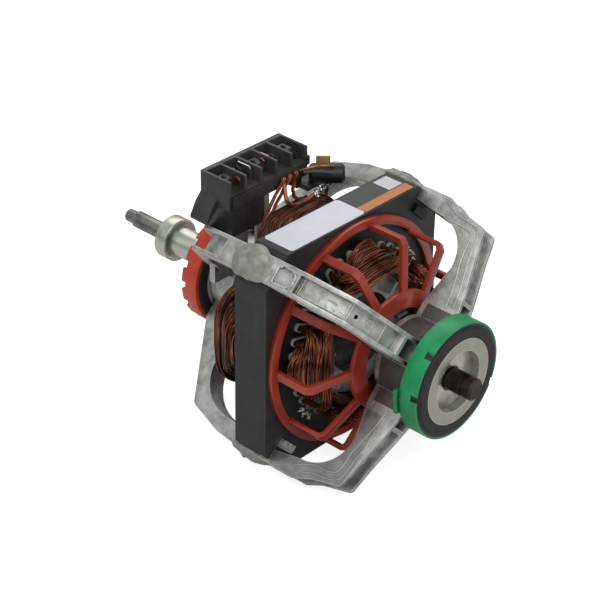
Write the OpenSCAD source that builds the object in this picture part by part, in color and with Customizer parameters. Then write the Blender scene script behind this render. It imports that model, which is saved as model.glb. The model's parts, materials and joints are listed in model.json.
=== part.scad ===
// Dryer motor: a four-pole induction motor with a square lamination stack, two cast end
// shields, a speed governor with its switch, and rubber mounting rings at both ends.
// Lengths are millimetres. The shaft lies along X with the front end at +X, Z is up, and
// the origin is the centre of the front mounting ring on the shaft axis. Along the shaft,
// sizes are distances outward from the front or rear face of the stack.

/* [Stator] */
// Width and height of the square lamination stack
stack_w = 138; // [134:0.5:142]
// Length of the stack along the shaft
stack_t = 23; // [21:0.5:27]
// Leg of the chamfer along each long edge of the stack
corner_leg = 16.3; // [15.5:0.1:17.5]
// Radius of the bore that the rotor turns in
bore_r = 38; // [37.5:0.1:38.6]
// Gap between the bore and the rotor
air_gap = 0.4; // [0.3:0.05:0.6]
// Number of slots round the bore
slot_count = 36; // [36:4:40]
// Width of a slot
slot_w = 4.6; // [4.5:0.1:5]
// Depth of a slot from the bore to its closed end
slot_depth = 13.8; // [13.6:0.1:15]
// Width of the narrow mouth of a slot
slot_mouth = 2.2; // [1.6:0.1:2.6]
// Wall of the paper liner in each slot
liner_t = 0.35; // [0.2:0.05:0.45]
// Length of liner that stands out of each end of a slot
liner_out = 2; // [1:0.5:2.5]

/* [Windings] */
// Diameter of one bundle of enamelled wire
strand_d = 3.4; // [3:0.1:3.5]
// Number of bundles in each main coil
main_loops = 5; // [3:1:5]
// Number of bundles in each start coil
start_loops = 2; // [1:1:2]
// Distance between two layers of wire in a slot
layer_step = 5; // [4.6:0.1:5.2]
// Height of the lowest main bundle over the stack face
head_low = 6; // [5.8:0.1:6.6]
// Height of the highest main bundle over the stack face
head_high = 21.5; // [21:0.1:22]
// Radius of the outermost main bundle at the coil head
head_r_out = 56; // [55.5:0.1:56.5]
// Radius of the innermost main bundle at the coil head
head_r_in = 43; // [42.8:0.1:43.6]
// Radius of the main bundles at the rear coil heads
head_r_rear = 62; // [58:0.5:63]
// Height of the lowest start bundle over the stack face
start_low = 8; // [7.5:0.1:8.5]

/* [End shields] */
// Width of a cast arm
arm_w = 15; // [13:0.5:16]
// Wall of the channel in a cast arm
arm_wall = 2.2; // [1.8:0.1:3]
// Thickness of the tongues that lie on the stack corners
tongue_t = 2.2; // [1.8:0.1:3]
// Length of the front tongue on the stack corner
tongue_front = 14.5; // [12:0.5:15]
// Length of the rear tongue on the stack corner
tongue_rear = 4.5; // [3:0.5:5]
// Distance from the front stack face to the centre of the front ring
front_ring_u = 70; // [68:0.5:74]
// Distance from the rear stack face to the centre of the rear ring
rear_ring_u = 72; // [70:0.5:76]
// Depth of the radial leg of a front arm
front_leg_depth = 13.7; // [12:0.1:15]
// Inner bend radius of a front arm
front_bend_r = 24; // [23:0.1:26]
// Inner bend radius of a rear arm
rear_bend_r = 26; // [24:0.1:27]
// Radius of the hub tube where the arms join it
hub_r = 23; // [22:0.5:24.5]

/* [Bearings] */
// Radius of the shaft in its bearings and at the front end
shaft_r = 6.35; // [6:0.05:6.7]
// Radial running clearance of the shaft in its bearings
running_gap = 0.03; // [0.02:0.01:0.08]
// Wall of a sleeve bearing
bearing_wall = 3.2; // [2.5:0.1:4]
// Length of a sleeve bearing
bearing_len = 17; // [14:0.5:18]
// Radius of the oil cavity in each hub
cavity_r = 17; // [16:0.5:18]
// Depth of the recess in the end of each hub
recess_depth = 5.5; // [4:0.5:6]
// Thickness of the discs that close the recess and hold the felt
cap_t = 0.8; // [0.6:0.1:1.2]
// Thickness of a felt oil ring
felt_t = 6; // [4:0.5:7]

/* [Mounting rings] */
// Width of a mounting ring along the shaft
ring_w = 12.6; // [11:0.1:14]
// Inner radius of a rubber ring, where it sits on the hub
ring_seat_r = 25.3; // [25:0.1:26]
// Radial thickness of a rubber ring
rubber_t = 6.5; // [5.5:0.1:8]
// Radial thickness of a plastic band round the rubber
band_t = 2.4; // [2:0.1:3.5]

/* [Shaft and pulley] */
// Distance from the front stack face to the front tip of the shaft
front_tip_u = 88.5; // [84:0.5:94]
// Distance from the rear stack face to the rear tip of the shaft
rear_tip_u = 159.5; // [156:0.5:164]
// Radius of the rear shaft beyond the pulley
rear_shaft_r = 5.2; // [4.8:0.1:5.6]
// Radius of the reduced rear tip
rear_pin_r = 4; // [3.5:0.1:4.5]
// Length of the reduced rear tip
rear_pin_len = 7.5; // [6:0.5:9]
// Radius of the pulley flange
pulley_flange_r = 13.4; // [12.5:0.1:15]
// Width of the pulley flange
pulley_flange_w = 8.7; // [7:0.1:10]
// Radius of the pulley face that the belt runs on
pulley_belt_r = 9; // [8.6:0.1:10]
// Length of the face that the belt runs on
pulley_belt_w = 24; // [20:0.5:25]

/* [Rotor] */
// Number of bars in the rotor cage
bar_count = 24; // [20:1:28]
// Radius of a rotor bar
bar_r = 2; // [1.6:0.1:2.3]
// Thickness of the end rings of the cage
end_ring_t = 6.5; // [5:0.5:8]
// Number of fan blades on each end ring
blade_count = 8; // [6:1:10]
// Height of a fan blade
blade_h = 5; // [3:0.5:6]

/* [Governor] */
// Travel of the spool along the shaft
spool_travel = 3; // [2:0.1:3.2]
// Radius of the spool's rear flange, where the lever bears
spool_flange_r = 13; // [12:0.1:14]
// Distance of the weight pivots from the shaft axis
pivot_r = 20; // [19:0.1:21]
// Radius of a governor pivot pin
pivot_pin_r = 1.25; // [1:0.05:1.5]
// Radial play of a hinge on its pin
pivot_play = 0.06; // [0.03:0.01:0.1]

/* [Switch] */
// Width of the switch housing across the motor
switch_w = 61; // [56:0.5:64]
// Length of the switch housing along the shaft
switch_l = 22; // [20:0.5:24]
// Height of the housing top over the shaft axis
switch_top = 90; // [88:0.5:94]
// Height of the housing bottom over the shaft axis
switch_bottom = 72; // [70:0.5:73]
// Thickness of a spade terminal
spade_t = 0.8; // [0.6:0.1:1]

/* [Guard] */
// Width of a guard rib
rib_w = 4.7; // [3.5:0.1:7]
// Thickness of a guard rib
rib_t = 2.6; // [1.8:0.1:3]
// Width of the guard rim on the stack face
rim_w = 5; // [4:0.1:6]
// Radius of the guard's inner collar
collar_r = 29; // [28:0.1:31]

/* [Labels] */
// Thickness of the paper labels
label_t = 0.2; // [0.1:0.05:0.4]
// Length of the white label along the stack
white_label_w = 58; // [40:1:60]
// Length of the dark label along the stack
dark_label_w = 40; // [30:1:42]

/* [Hidden] */
$fn = 64;

// Overlap that keeps a cut or a joint clean
eps = 0.5;
face = stack_t / 2;
half_w = stack_w / 2;
// Distance of the chamfer flats from the shaft axis
flat_rho = (2 * half_w - corner_leg) / sqrt(2);
slot_pitch = 360 / slot_count;
slot_neck_r = bore_r + 2.4;
slot_end_r = bore_r + slot_depth;
layer_r = bore_r + 5.6;
rotor_r = bore_r - air_gap;
bearing_r = shaft_r + running_gap + bearing_wall;
band_seat_r = ring_seat_r + rubber_t;
band_r = band_seat_r + band_t;
rest_gap = 0.3;
// Radius of the guard rim, and depth of a cast arm where it leaves the stack
rim_r = half_w - 1.5;
foot_drop = 6;
arm_angles = [45, 135, 225, 315];
cast_colour = [0.72, 0.73, 0.73];
copper_colour = [0.48, 0.24, 0.13];

// Front hub stations, outward from the front stack face
front_face_u = front_ring_u + ring_w / 2;
front_cap_u = front_face_u - recess_depth;
front_bearing_u = front_cap_u - cap_t - bearing_len;
front_hub_in_u = front_bearing_u - 16;
front_leg_u = front_ring_u - ring_w / 2 - 8.2;
// Rear hub stations, outward from the rear stack face
rear_face_u = rear_ring_u + ring_w / 2;
rear_cap_u = rear_face_u - recess_depth;
rear_bearing_u = rear_cap_u - cap_t - bearing_len;
rear_hub_in_u = rear_bearing_u - 6.5;
rear_leg_u = rear_ring_u - ring_w / 2 - 2.2;
seat_wall = 10;

// Thrust parts, inward from the bearing's inner end
washer_t = 1.2;
thrust_collar_t = 2.7;
thrust_r = 9;

// Governor stations, outward from the rear stack face
spool_u = rear_hub_in_u - 3;
spool_sleeve_r = 9;
spool_flange_t = 2.2;
spool_groove_w = 3.6;
small_flange_t = 1.8;
finger_t = 2;
finger_tip_r = spool_sleeve_r + 1.2;
pivot_u = spool_u - 8.5;
weight_half_y = 6;
ear_t = 1.5;
ear_in_y = weight_half_y + 0.5;
base_u = pivot_u - 17;
base_t = 2;
spring_u = base_u + 5.5;
spring_y = 11.6;
spring_r = 1.6;
peg_z = pivot_r + 1.5;

// Switch stations
switch_u = spool_u + 3;
switch_y = -46;
lever_t = 2;
lever_half_y = 6;
lever_z = switch_bottom - 6;
lever_pin_r = 1.25;
lever_foot_z = 8.4;
bracket_t = 4;
bay_wall = 1.6;
bay_count = 5;
tray_u = [24, 40];
tray_y = 27;
protector_at = [20.3, 24.5];
protector_turn = 136;
protector_z = switch_bottom - 6;
protector_r = 5.8;
protector_len = 20;
tray_t = 3;

// Turns a shape drawn in the YZ plane, with Z as its height, to lie along the shaft
module along_shaft() { rotate([90, 0, 90]) children(); }

// Places a piece that is drawn round the middle of the stack into the motor's frame
module from_stack() { translate([-(face + front_ring_u), 0, 0]) children(); }

// Front and rear pieces are drawn with X as the distance outward from the stack face
module front_end() { from_stack() translate([face, 0, 0]) children(); }
module rear_end() { from_stack() mirror([1, 0, 0]) translate([face, 0, 0]) children(); }

// A turned part from points of radius and distance along the shaft
module turned(points) { along_shaft() rotate_extrude() polygon(points); }

// A plain ring along the shaft
module ring_part(inner, outer, start, length) {
    translate([start, 0, 0]) along_shaft() difference() {
        cylinder(r = outer, h = length);
        translate([0, 0, -eps]) cylinder(r = inner, h = length + 2 * eps);
    }
}

module box(x, y, z) {
    translate([x[0], y[0], z[0]]) cube([x[1] - x[0], y[1] - y[0], z[1] - z[0]]);
}

function mix(a, b, w) = a + (b - a) * w;
function unit(v) = v / norm(v);
function arc(cx, cy, r, from, to, steps) =
    [for (i = [0 : steps]) let (a = mix(from, to, i / steps)) [cx + r * cos(a), cy + r * sin(a)]];

// Tube along a path
function tangent(path, i) =
    unit(path[min(i + 1, len(path) - 1)] - path[max(i - 1, 0)]);
function tube_ring(path, i, side, r, sides) =
    let (t = tangent(path, i), b = unit(cross(t, side[i])), n = cross(b, t))
    [for (k = [0 : sides - 1]) path[i] + r * (cos(360 * k / sides) * n + sin(360 * k / sides) * b)];
function tube_faces(rings, sides) = concat(
    [for (k = [1 : sides - 2]) [0, k, k + 1]],
    [for (i = [0 : rings - 2], k = [0 : sides - 1], h = [0, 1])
        let (a = i * sides + k, b = i * sides + (k + 1) % sides)
        h == 0 ? [a, a + sides, b] : [b, a + sides, b + sides]],
    [for (k = [1 : sides - 2]) let (e = (rings - 1) * sides) [e, e + k + 1, e + k]]);
module tube(path, side, r, sides) {
    points = [for (i = [0 : len(path) - 1]) each tube_ring(path, i, side, r, sides)];
    polyhedron(points = points, faces = tube_faces(len(path), sides));
}

// Windings. A bundle is given by the angle of its slot from the pole, its radius there,
// its angle, radius and height over the stack at the coil head, and its radius at the rear head.
head_points = 10;
main_bundles = [for (k = [0 : main_loops - 1])
    let (w = k / (main_loops - 1), row = floor(k / 2))
    [(row + 1.5) * slot_pitch, layer_r + (1 - k % 2) * layer_step,
        mix(12, 38, w), mix(head_r_out, head_r_in, w), mix(head_low, head_high, w),
        head_r_rear]];
start_bundles = [for (k = [0 : start_loops - 1])
    [45 - slot_pitch / 2, layer_r + k * layer_step, 44 - slot_pitch / 2, bore_r + 0.9, start_low + k * 5, bore_r + 0.9]];
// How fast a bundle rises, closes in and turns over at the coil head
main_shape = [0.5, 3, 0.8];
start_shape = [0.4, 1.2, 0.5];
liner_x = face + liner_out;
leg_x = liner_x + 2.3;
function polar(x, r, a) = [x, r * cos(a), r * sin(a)];

// A coil head from bundle p on one side of the pole to bundle q on the other side
function head(p, q, end, shape) = [for (j = [1 : head_points])
    let (w = j / (head_points + 1), m = mix(p, q, w), s = sin(180 * w),
        turn = pow(abs(cos(180 * w)), shape[2]) * (w < 0.5 ? -1 : 1))
    polar(end * (leg_x + (m[4] + face - leg_x) * pow(s, shape[0])),
        mix(m[1], end < 0 ? m[5] : m[3], pow(s, shape[1])), end * turn * mix(m[0], m[2], s))];
function leg(p, way) = [polar(-way * leg_x, p[1], -way * p[0]), polar(way * leg_x, p[1], -way * p[0])];
function coil_path(bundles, shape) = [for (k = [0 : len(bundles) - 1]) each concat(
    leg(bundles[k], 1), head(bundles[k], bundles[k], 1, shape), leg(bundles[k], -1),
    k < len(bundles) - 1 ? head(bundles[k], bundles[k + 1], -1, shape) : [])];
function radial(path) = [for (p = path) unit([0, p[1], p[2]])];

// Least gap of a coil to itself, over points half a coil head or more apart on the tube
function coil_gap(path) = min([for (i = [0 : len(path) - 1], j = [i + 5 : 1 : len(path) - 1])
    norm(path[i] - path[j])]) - strand_d;
main_path = coil_path(main_bundles, main_shape);
start_path = coil_path(start_bundles, start_shape);
echo(main_coil_gap = coil_gap(main_path), start_coil_gap = coil_gap(start_path));

module coil(path, angle) { from_stack() rotate([angle, 0, 0]) tube(path, radial(path), strand_d / 2, 6); }
module main_coil(angle) { color(copper_colour) coil(main_path, angle); }
module start_coil(angle) { color(copper_colour * 0.7) coil(start_path, angle); }
module main_coil_right() { main_coil(0); }
module main_coil_top() { main_coil(90); }
module main_coil_left() { main_coil(180); }
module main_coil_bottom() { main_coil(270); }
module start_coil_top_right() { start_coil(45); }
module start_coil_top_left() { start_coil(135); }
module start_coil_bottom_left() { start_coil(225); }
module start_coil_bottom_right() { start_coil(315); }

// Stator: the stack is drawn flat, with +Y to its right, and then turned along the shaft
module slot_outline(width, inner, outer) {
    translate([inner, -width / 2]) square([outer - width / 2 - inner, width]);
    translate([outer - width / 2, 0]) circle(d = width);
}
module each_slot() { for (i = [0 : slot_count - 1]) rotate((i + 0.5) * slot_pitch) children(); }
module stator_core() {
    from_stack() translate([-face, 0, 0]) color([0.1, 0.1, 0.11]) along_shaft() linear_extrude(stack_t)
        difference() {
            polygon([for (q = [0 : 3]) each [for (c = [[half_w, corner_leg - half_w], [half_w, half_w - corner_leg]])
                [c[0] * cos(90 * q) - c[1] * sin(90 * q), c[0] * sin(90 * q) + c[1] * cos(90 * q)]]]);
            circle(r = bore_r, $fn = 128);
            each_slot() {
                slot_outline(slot_w, slot_neck_r, slot_end_r);
                translate([bore_r - 1, -slot_mouth / 2]) square([slot_neck_r - bore_r + 1.5, slot_mouth]);
            }
        }
}
module slot_liners() {
    from_stack() translate([-liner_x, 0, 0]) color([0.62, 0.68, 0.62]) along_shaft()
        linear_extrude(2 * liner_x) each_slot() difference() {
            slot_outline(slot_w, slot_neck_r, slot_end_r);
            slot_outline(slot_w - 2 * liner_t, slot_neck_r - eps, slot_end_r - liner_t);
        }
}

// Small bent clips on the front face near two corners, each a bridge on two feet
cleat_size = [13, 5, 1.2];
cleat_r = mix(rim_r, flat_rho - foot_drop, 0.6);
module stack_cleats() {
    front_end() color([0.85, 0.85, 0.83]) for (a = [45, 225]) rotate([a, 0, 0])
        translate([0, cleat_r - cleat_size[1] / 2, -cleat_size[0] / 2]) difference() {
            cube([2.4, cleat_size[1], cleat_size[0]]);
            translate([-eps, -eps, 3]) cube([1.2 + eps, cleat_size[1] + 2 * eps, cleat_size[0] - 6]);
        }
}

// Paper labels on the top of the stack, from a start on the left toward the right
label_start = -48.5;
label_edge = 1;
module data_label() {
    from_stack() color([0.9, 0.91, 0.94])
        box([label_edge - face, face - label_edge], [label_start, label_start + white_label_w], [half_w, half_w + label_t]);
}
module wiring_label() {
    start = label_start + white_label_w + 0.3;
    from_stack() color([0.12, 0.12, 0.13])
        box([label_edge - face, face - label_edge], [start, start + dark_label_w], [half_w, half_w + label_t]);
}

// Winding guard: a moulded cage of bent ribs from a rim on the stack face to a collar
rib_angles = [12, 45, 80, 115, 145, 180, 216, 240, 275, 310, 342];
guard_u = head_high + 5.5;
collar_u = guard_u + 5;
// Breadth of the sloped skirt round the collar
collar_w = 6.5;
module winding_guard() {
    rib_r = rim_r - 3.5;
    color([0.5, 0.13, 0.09]) front_end() {
        ring_part(rim_r - rim_w, rim_r, 0, 3);
        turned([[collar_r - 3, collar_u - 1.5], [collar_r - 3, collar_u + 2],
            [collar_r + collar_w, collar_u + 0.5], [collar_r + collar_w, collar_u - 2]]);
        for (a = rib_angles) rotate([a, 0, 0]) translate([0, 0, -rib_w / 2]) linear_extrude(rib_w)
            polygon([[0, rib_r - rib_t], [0, rib_r], [guard_u - 3, rib_r], [guard_u, rib_r - 3],
                [collar_u + 1, collar_r - 1], [collar_u - rib_t + 1, collar_r - 1],
                [guard_u - rib_t, rib_r - rib_t - 2], [guard_u - rib_t - 2, rib_r - rib_t]]);
    }
}

// End shields. Arm outlines are points of distance along the shaft and from the axis.
arm_floor = 3;
front_bend_drop = 9;
rear_bend_drop = 9;
front_corner_u = front_leg_u - 6.5;
front_arc = [front_leg_u - front_leg_depth - front_bend_r, flat_rho - front_bend_drop - front_bend_r];
rear_corner_u = rear_leg_u - 21.5;
rear_arc = [rear_corner_u - rear_bend_r, flat_rho - rear_bend_drop - rear_bend_r];
hub_root = hub_r - 2;
front_leg_out_u = front_leg_u + 4.5;
corner_round = 3.4;
front_outline = concat(
    [[-tongue_front, flat_rho], [-tongue_front, flat_rho + tongue_t], [20, flat_rho + tongue_t],
        [30, flat_rho - 2.2]],
    arc(front_corner_u - corner_round, flat_rho - 5.6 - corner_round, corner_round, 80, 12, 4),
    [[front_leg_u - 3.2, flat_rho - 24], [front_leg_u + 1.4, flat_rho - 41], [front_leg_out_u, hub_r + 9],
        [front_leg_out_u, hub_root],
        [front_hub_in_u, hub_root], [front_hub_in_u, hub_r + 7]],
    arc(front_arc[0], front_arc[1], front_bend_r, 0, 90, 10),
    [[0, flat_rho - foot_drop], [0, flat_rho]]);
rear_outline = concat(
    [[-tongue_rear, flat_rho], [-tongue_rear, flat_rho + tongue_t], [3, flat_rho + tongue_t],
        [17, flat_rho + 0.8]],
    arc(rear_corner_u - 5, flat_rho - 10.4, 5, 76, 24, 3),
    [[rear_leg_u, hub_r + 10], [rear_leg_u, hub_root], [rear_hub_in_u + 2.5, hub_root],
        [rear_hub_in_u + 2.5, hub_r + 7]],
    arc(rear_arc[0], rear_arc[1], rear_bend_r, 0, 90, 10),
    [[0, flat_rho - rear_bend_drop + 1.5], [0, flat_rho]]);

// Channel in the outer side of a rear arm, round its bend to a rib across the leg
function rear_channel(rib_rho) = let (r = rear_bend_r + arm_floor, far = rear_bend_r + 60, c = rear_arc) concat(
    [[c[0], c[1] + r]], arc(c[0], c[1], r, 90, 0, 10),
    [[c[0] + r, rib_rho], [c[0] + far, rib_rho], [c[0] + far, c[1] + far], [c[0], c[1] + far]]);
// Panel sunk in the outer side of a front arm, from its foot to a rib near the hub
panel_depth = 3.4;
panel_start = 15;
function front_panel(rib_rho) = let (d = panel_depth, far = flat_rho + 20) [
    [panel_start, flat_rho + tongue_t - d], [20, flat_rho + tongue_t - d], [30 - 0.3 * d, flat_rho - 2.2 - d],
    [front_corner_u - corner_round - 0.5 * d, flat_rho - 5.6 - d], [front_corner_u - d, flat_rho - 8.6 - d],
    [front_leg_u - 3.2 - d, flat_rho - 24], [front_leg_u + 1.4 - d, flat_rho - 41], [front_leg_u + 1.8 - d, rib_rho],
    [front_leg_u + 20, rib_rho], [front_leg_u + 20, far], [panel_start, far]];
rib_gap = 2.4;
front_rib_rho = 40;
rear_rib_rho = 50;
module slab(width, outline) { translate([0, 0, -width / 2]) linear_extrude(width) polygon(outline); }
module each_arm() { for (a = arm_angles) rotate([a, 0, 0]) children(); }
module hub_solid(hub_in, ring_start, end) {
    turned([[0, hub_in], [hub_r, hub_in], [hub_r, ring_start - 1], [ring_seat_r, ring_start - 1],
        [ring_seat_r, end], [0, end]]);
}
module hub_cut(bearing, cap) {
    turned([[0, bearing - 30], [cavity_r, bearing - 30], [cavity_r, cap - cap_t - seat_wall],
        [bearing_r, cap - cap_t - seat_wall], [bearing_r, cap - cap_t], [recess_r, cap - cap_t],
        [recess_r, cap + recess_depth + eps], [0, cap + recess_depth + eps]]);
}
recess_r = 18;
pocket_w = arm_w - 2 * arm_wall;
drain_angle = 33;
drain_r = 1.3;
module front_end_shield() {
    hub_pocket_u = front_leg_u - 5;
    color(cast_colour) front_end() difference() {
        union() {
            hub_solid(front_hub_in_u, front_ring_u - ring_w / 2, front_face_u);
            each_arm() slab(arm_w, front_outline);
        }
        each_arm() {
            slab(pocket_w, front_panel(front_rib_rho));
            slab(pocket_w, [[hub_pocket_u, hub_r + 4], [front_leg_u + 9, hub_r + 4],
                [front_leg_u + 9, front_rib_rho - rib_gap], [hub_pocket_u, front_rib_rho - rib_gap]]);
            translate([1, flat_rho + tongue_t - 1, -5]) cube([11, 3, 10]);
            translate([front_arc[0], front_arc[1], 0]) rotate([0, 0, drain_angle])
                translate([front_bend_r - 2, 0, 0]) rotate([0, 90, 0]) cylinder(r = drain_r, h = front_leg_depth);
        }
        hub_cut(front_bearing_u, front_cap_u);
    }
}
module rear_end_shield() {
    color(cast_colour) rear_end() difference() {
        union() {
            hub_solid(rear_hub_in_u, rear_ring_u - ring_w / 2, rear_face_u);
            each_arm() slab(arm_w, rear_outline);
            box([switch_u, switch_u + bracket_t], bracket_y, [hub_r - 9, bracket_top]);
        }
        each_arm() {
            slab(pocket_w, rear_channel(rear_rib_rho));
            slab(pocket_w, [[rear_leg_u - 6, hub_r + 4], [rear_leg_u + 9, hub_r + 4],
                [rear_leg_u + 9, rear_rib_rho - rib_gap], [rear_leg_u - 6, rear_rib_rho - rib_gap]]);
        }
        hub_cut(rear_bearing_u, rear_cap_u);
        for (s = switch_screw_places) translate([switch_u - eps, s[0], s[1]]) rotate([0, 90, 0])
            cylinder(r = screw_r, h = bracket_t + 2 * eps);
    }
}

// Bond on each stack corner: a plug between the two tongues under a domed cap
bond_r = 8.6;
bond_h = 2.6;
bond_skirt = 0.6;
module corner_bonds() {
    gap_from = tongue_rear - face;
    gap_to = face - tongue_front;
    dome = [for (a = [0 : 15 : 90]) [bond_r * cos(a), bond_skirt + (bond_h - bond_skirt) * sin(a)]];
    from_stack() color([0.55, 0.58, 0.53]) each_arm() translate([(gap_from + gap_to) / 2, flat_rho, 0]) {
        translate([(gap_from - gap_to) / 2, 0, -5]) cube([gap_to - gap_from, tongue_t + bond_skirt / 2, 10]);
        translate([0, tongue_t, 0]) rotate([-90, 0, 0]) rotate_extrude() polygon(concat([[0, 0], [bond_r, 0]], dome));
    }
}

// Bearings, felts and the discs that hold them
module bearing(start) { color([0.72, 0.53, 0.3]) ring_part(shaft_r + running_gap, bearing_r, start, bearing_len); }
module felt(cap) { color([0.55, 0.5, 0.4]) ring_part(bearing_r, cavity_r, cap - cap_t - seat_wall - felt_t, felt_t); }
module retainer(cap) {
    color([0.75, 0.75, 0.74]) ring_part(bearing_r, cavity_r, cap - 2 * cap_t - seat_wall - felt_t, cap_t);
}
module bearing_cap(cap) { color([0.78, 0.77, 0.73]) ring_part(shaft_r + 1, recess_r, cap - cap_t, cap_t); }
module front_bearing() { front_end() bearing(front_bearing_u); }
module rear_bearing() { rear_end() bearing(rear_bearing_u); }
module front_oil_felt() { front_end() felt(front_cap_u); }
module rear_oil_felt() { rear_end() felt(rear_cap_u); }
module front_felt_retainer() { front_end() retainer(front_cap_u); }
module rear_felt_retainer() { rear_end() retainer(rear_cap_u); }
module front_bearing_cap() { front_end() bearing_cap(front_cap_u); }
module rear_bearing_cap() { rear_end() bearing_cap(rear_cap_u); }

// Mounting rings: rubber on the hub seat and a plastic band round the rubber
band_w = ring_w - 1;
module rubber_ring(centre) {
    lip = 1.2;
    color([0.1, 0.09, 0.09]) translate([centre - ring_w / 2, 0, 0]) turned([[ring_seat_r, 0],
        [band_seat_r - lip, 0], [band_seat_r, lip], [band_seat_r, ring_w - lip],
        [band_seat_r - lip, ring_w], [ring_seat_r, ring_w]]);
}
module front_rubber_ring() { front_end() rubber_ring(front_ring_u); }
module rear_rubber_ring() { rear_end() rubber_ring(rear_ring_u); }
lug_angle = 184;
lug_len = 15;
lug_t = 2.6;
lug_h = 3.3;
lug_root = 1;
lug_bite = 0.8;
lug_gap = 0.3;
notch_angles = [135, 177, 338];
notch_w = 4;
module front_mount_band() {
    start = front_ring_u - band_w / 2 - 0.7;
    color([0.1, 0.55, 0.35]) front_end() difference() {
        union() {
            ring_part(band_seat_r, band_r, start, band_w);
            rotate([lug_angle, 0, 0]) {
                translate([start - lug_t, band_seat_r + 0.4, -lug_len / 2]) cube([lug_t - lug_gap, lug_h, lug_len]);
                translate([start - lug_t / 2, band_seat_r + 0.4, -lug_len / 2])
                    cube([lug_t / 2 + lug_bite, lug_root, lug_len]);
            }
        }
        along_shaft() cylinder(r = band_seat_r, h = front_face_u);
        for (a = notch_angles) rotate([a, 0, 0])
            translate([start + band_w - notch_w, band_r - 1.2, -notch_w]) cube([notch_w + eps, 5, notch_w]);
    }
}
tooth_count = 16;
tooth_gap = 5;
module rear_mount_band() {
    start = rear_ring_u - band_w / 2;
    color([0.85, 0.24, 0.14]) rear_end() difference() {
        ring_part(band_seat_r, band_r, start, band_w);
        for (i = [0 : tooth_count - 1]) rotate([360 / tooth_count * i, 0, 0])
            translate([start + band_w - 3, band_seat_r - 2, -tooth_gap / 2]) cube([3 + eps, band_t + 4, tooth_gap]);
    }
}

// Switch: the housing and what it carries move with the governor spool's place
bracket_y = [-36, -9.5];
bracket_top = switch_top - 8;
screw_r = 2;
screw_len = 12;
switch_screw_places = [[-28, switch_bottom - 9.5], [-18, bracket_top - 5]];
cavity_y = [-12, 12];
switch_front = switch_u - switch_l;
bay_floor = switch_top - 9;
cavity_z = [switch_bottom - eps, bay_floor - 2];
bay_pitch = (switch_w - bay_wall) / bay_count;
lever_u = spool_u + rest_gap;
// A point beside the upper left arm, from its distance from the axis and from the arm's middle
function by_arm(rho, side) = [side - rho, side + rho] / sqrt(2);
wing_drop = 16;
screw_hole = 9;
module switch_housing() {
    right = switch_y + switch_w;
    low = switch_bottom - wing_drop;
    low_left = (arm_w / 2 + 1) * sqrt(2) - low;
    color([0.1, 0.1, 0.1]) rear_end() difference() {
        union() {
            box([switch_front, switch_u], [switch_y, right], [switch_bottom, switch_top]);
            box([switch_front, switch_u], [low_left, -19], [low, switch_bottom + eps]);
            translate([switch_u - 13, 0, 0]) along_shaft() linear_extrude(13)
                polygon([[switch_y + eps, switch_top - 12], [switch_y + eps, switch_bottom - 0.2],
                    by_arm(flat_rho - 2.8, 6.8), by_arm(flat_rho - 1.4, 7.8), [switch_y - 4, switch_top - 17]]);
            box(tray_u, [right - 2, tray_y], [protector_z - tray_t, protector_z]);
            box([switch_front + 4, tray_u[1]], [right - 4, right], [protector_z - tray_t, switch_bottom + 2]);
            for (side = [0, 1]) mirror([0, side, 0])
                box([lever_u - 4, switch_u], [lever_half_y + 0.6, lever_half_y + 3.6], [lever_z - 4, switch_bottom + eps]);
        }
        for (i = [0 : bay_count - 1]) let (y = switch_y + bay_wall + i * bay_pitch)
            box([switch_front - eps, switch_u - 3], [y, y + bay_pitch - bay_wall], [bay_floor, switch_top + eps]);
        box([switch_front + 2, switch_u - 1.2], cavity_y, cavity_z);
        translate([lever_u + lever_t / 2, 0, lever_z]) rotate([90, 0, 0])
            cylinder(r = lever_pin_r, h = 4 * lever_half_y, center = true);
        for (s = switch_screw_places) translate([switch_u - screw_hole, s[0], s[1]]) rotate([0, 90, 0])
            cylinder(r = screw_r - 0.1, h = screw_hole + eps);
    }
}
module switch_screws() {
    color([0.7, 0.7, 0.68]) rear_end() for (s = switch_screw_places) translate([0, s[0], s[1]]) {
        translate([switch_u + bracket_t, 0, 0]) rotate([0, 90, 0]) cylinder(r = 4, h = 2.4);
        translate([switch_u + bracket_t - screw_len, 0, 0]) rotate([0, 90, 0])
            cylinder(r = screw_r - 0.1, h = screw_len + eps);
    }
}
spade_set_back = 6.5;
spade_back = 6;
module spade_terminals() {
    color([0.8, 0.8, 0.78]) rear_end() for (i = [0 : bay_count - 1])
        let (y = switch_y + bay_wall + (i + 0.5) * bay_pitch - bay_wall / 2)
            box([switch_front + spade_set_back, switch_u - spade_back], [y, y + spade_t], [bay_floor, switch_top - 0.5]);
}
module contact_blades() {
    color([0.8, 0.55, 0.25]) rear_end() for (i = [0, 1])
        box([switch_front + 5, switch_u - 5], [-8 + 9 * i, -3 + 9 * i], [cavity_z[1] - 0.5, cavity_z[1]]);
}
module lever_pin() {
    color([0.75, 0.75, 0.74]) rear_end() translate([lever_u + lever_t / 2, 0, lever_z]) rotate([90, 0, 0])
        cylinder(r = lever_pin_r, h = 2 * lever_half_y + 7, center = true);
}
module switch_lever() {
    barrel_r = 3;
    color([0.85, 0.83, 0.75]) rear_end() difference() {
        union() {
            box([lever_u, lever_u + lever_t], [-lever_half_y + 1, lever_half_y - 1], [lever_foot_z, lever_z]);
            box([lever_u, lever_u + lever_t], [-lever_half_y - 1, lever_half_y + 1], [lever_foot_z, lever_foot_z + 6]);
            translate([lever_u + lever_t / 2, 0, lever_z]) rotate([90, 0, 0])
                cylinder(r = barrel_r, h = 2 * lever_half_y, center = true);
            box([lever_u - 1, lever_u + 0.2], [-3, 3], [lever_z, switch_bottom + 5]);
        }
        translate([lever_u + lever_t / 2, 0, lever_z]) rotate([90, 0, 0])
            cylinder(r = lever_pin_r + pivot_play, h = 4 * lever_half_y, center = true);
    }
}

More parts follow.
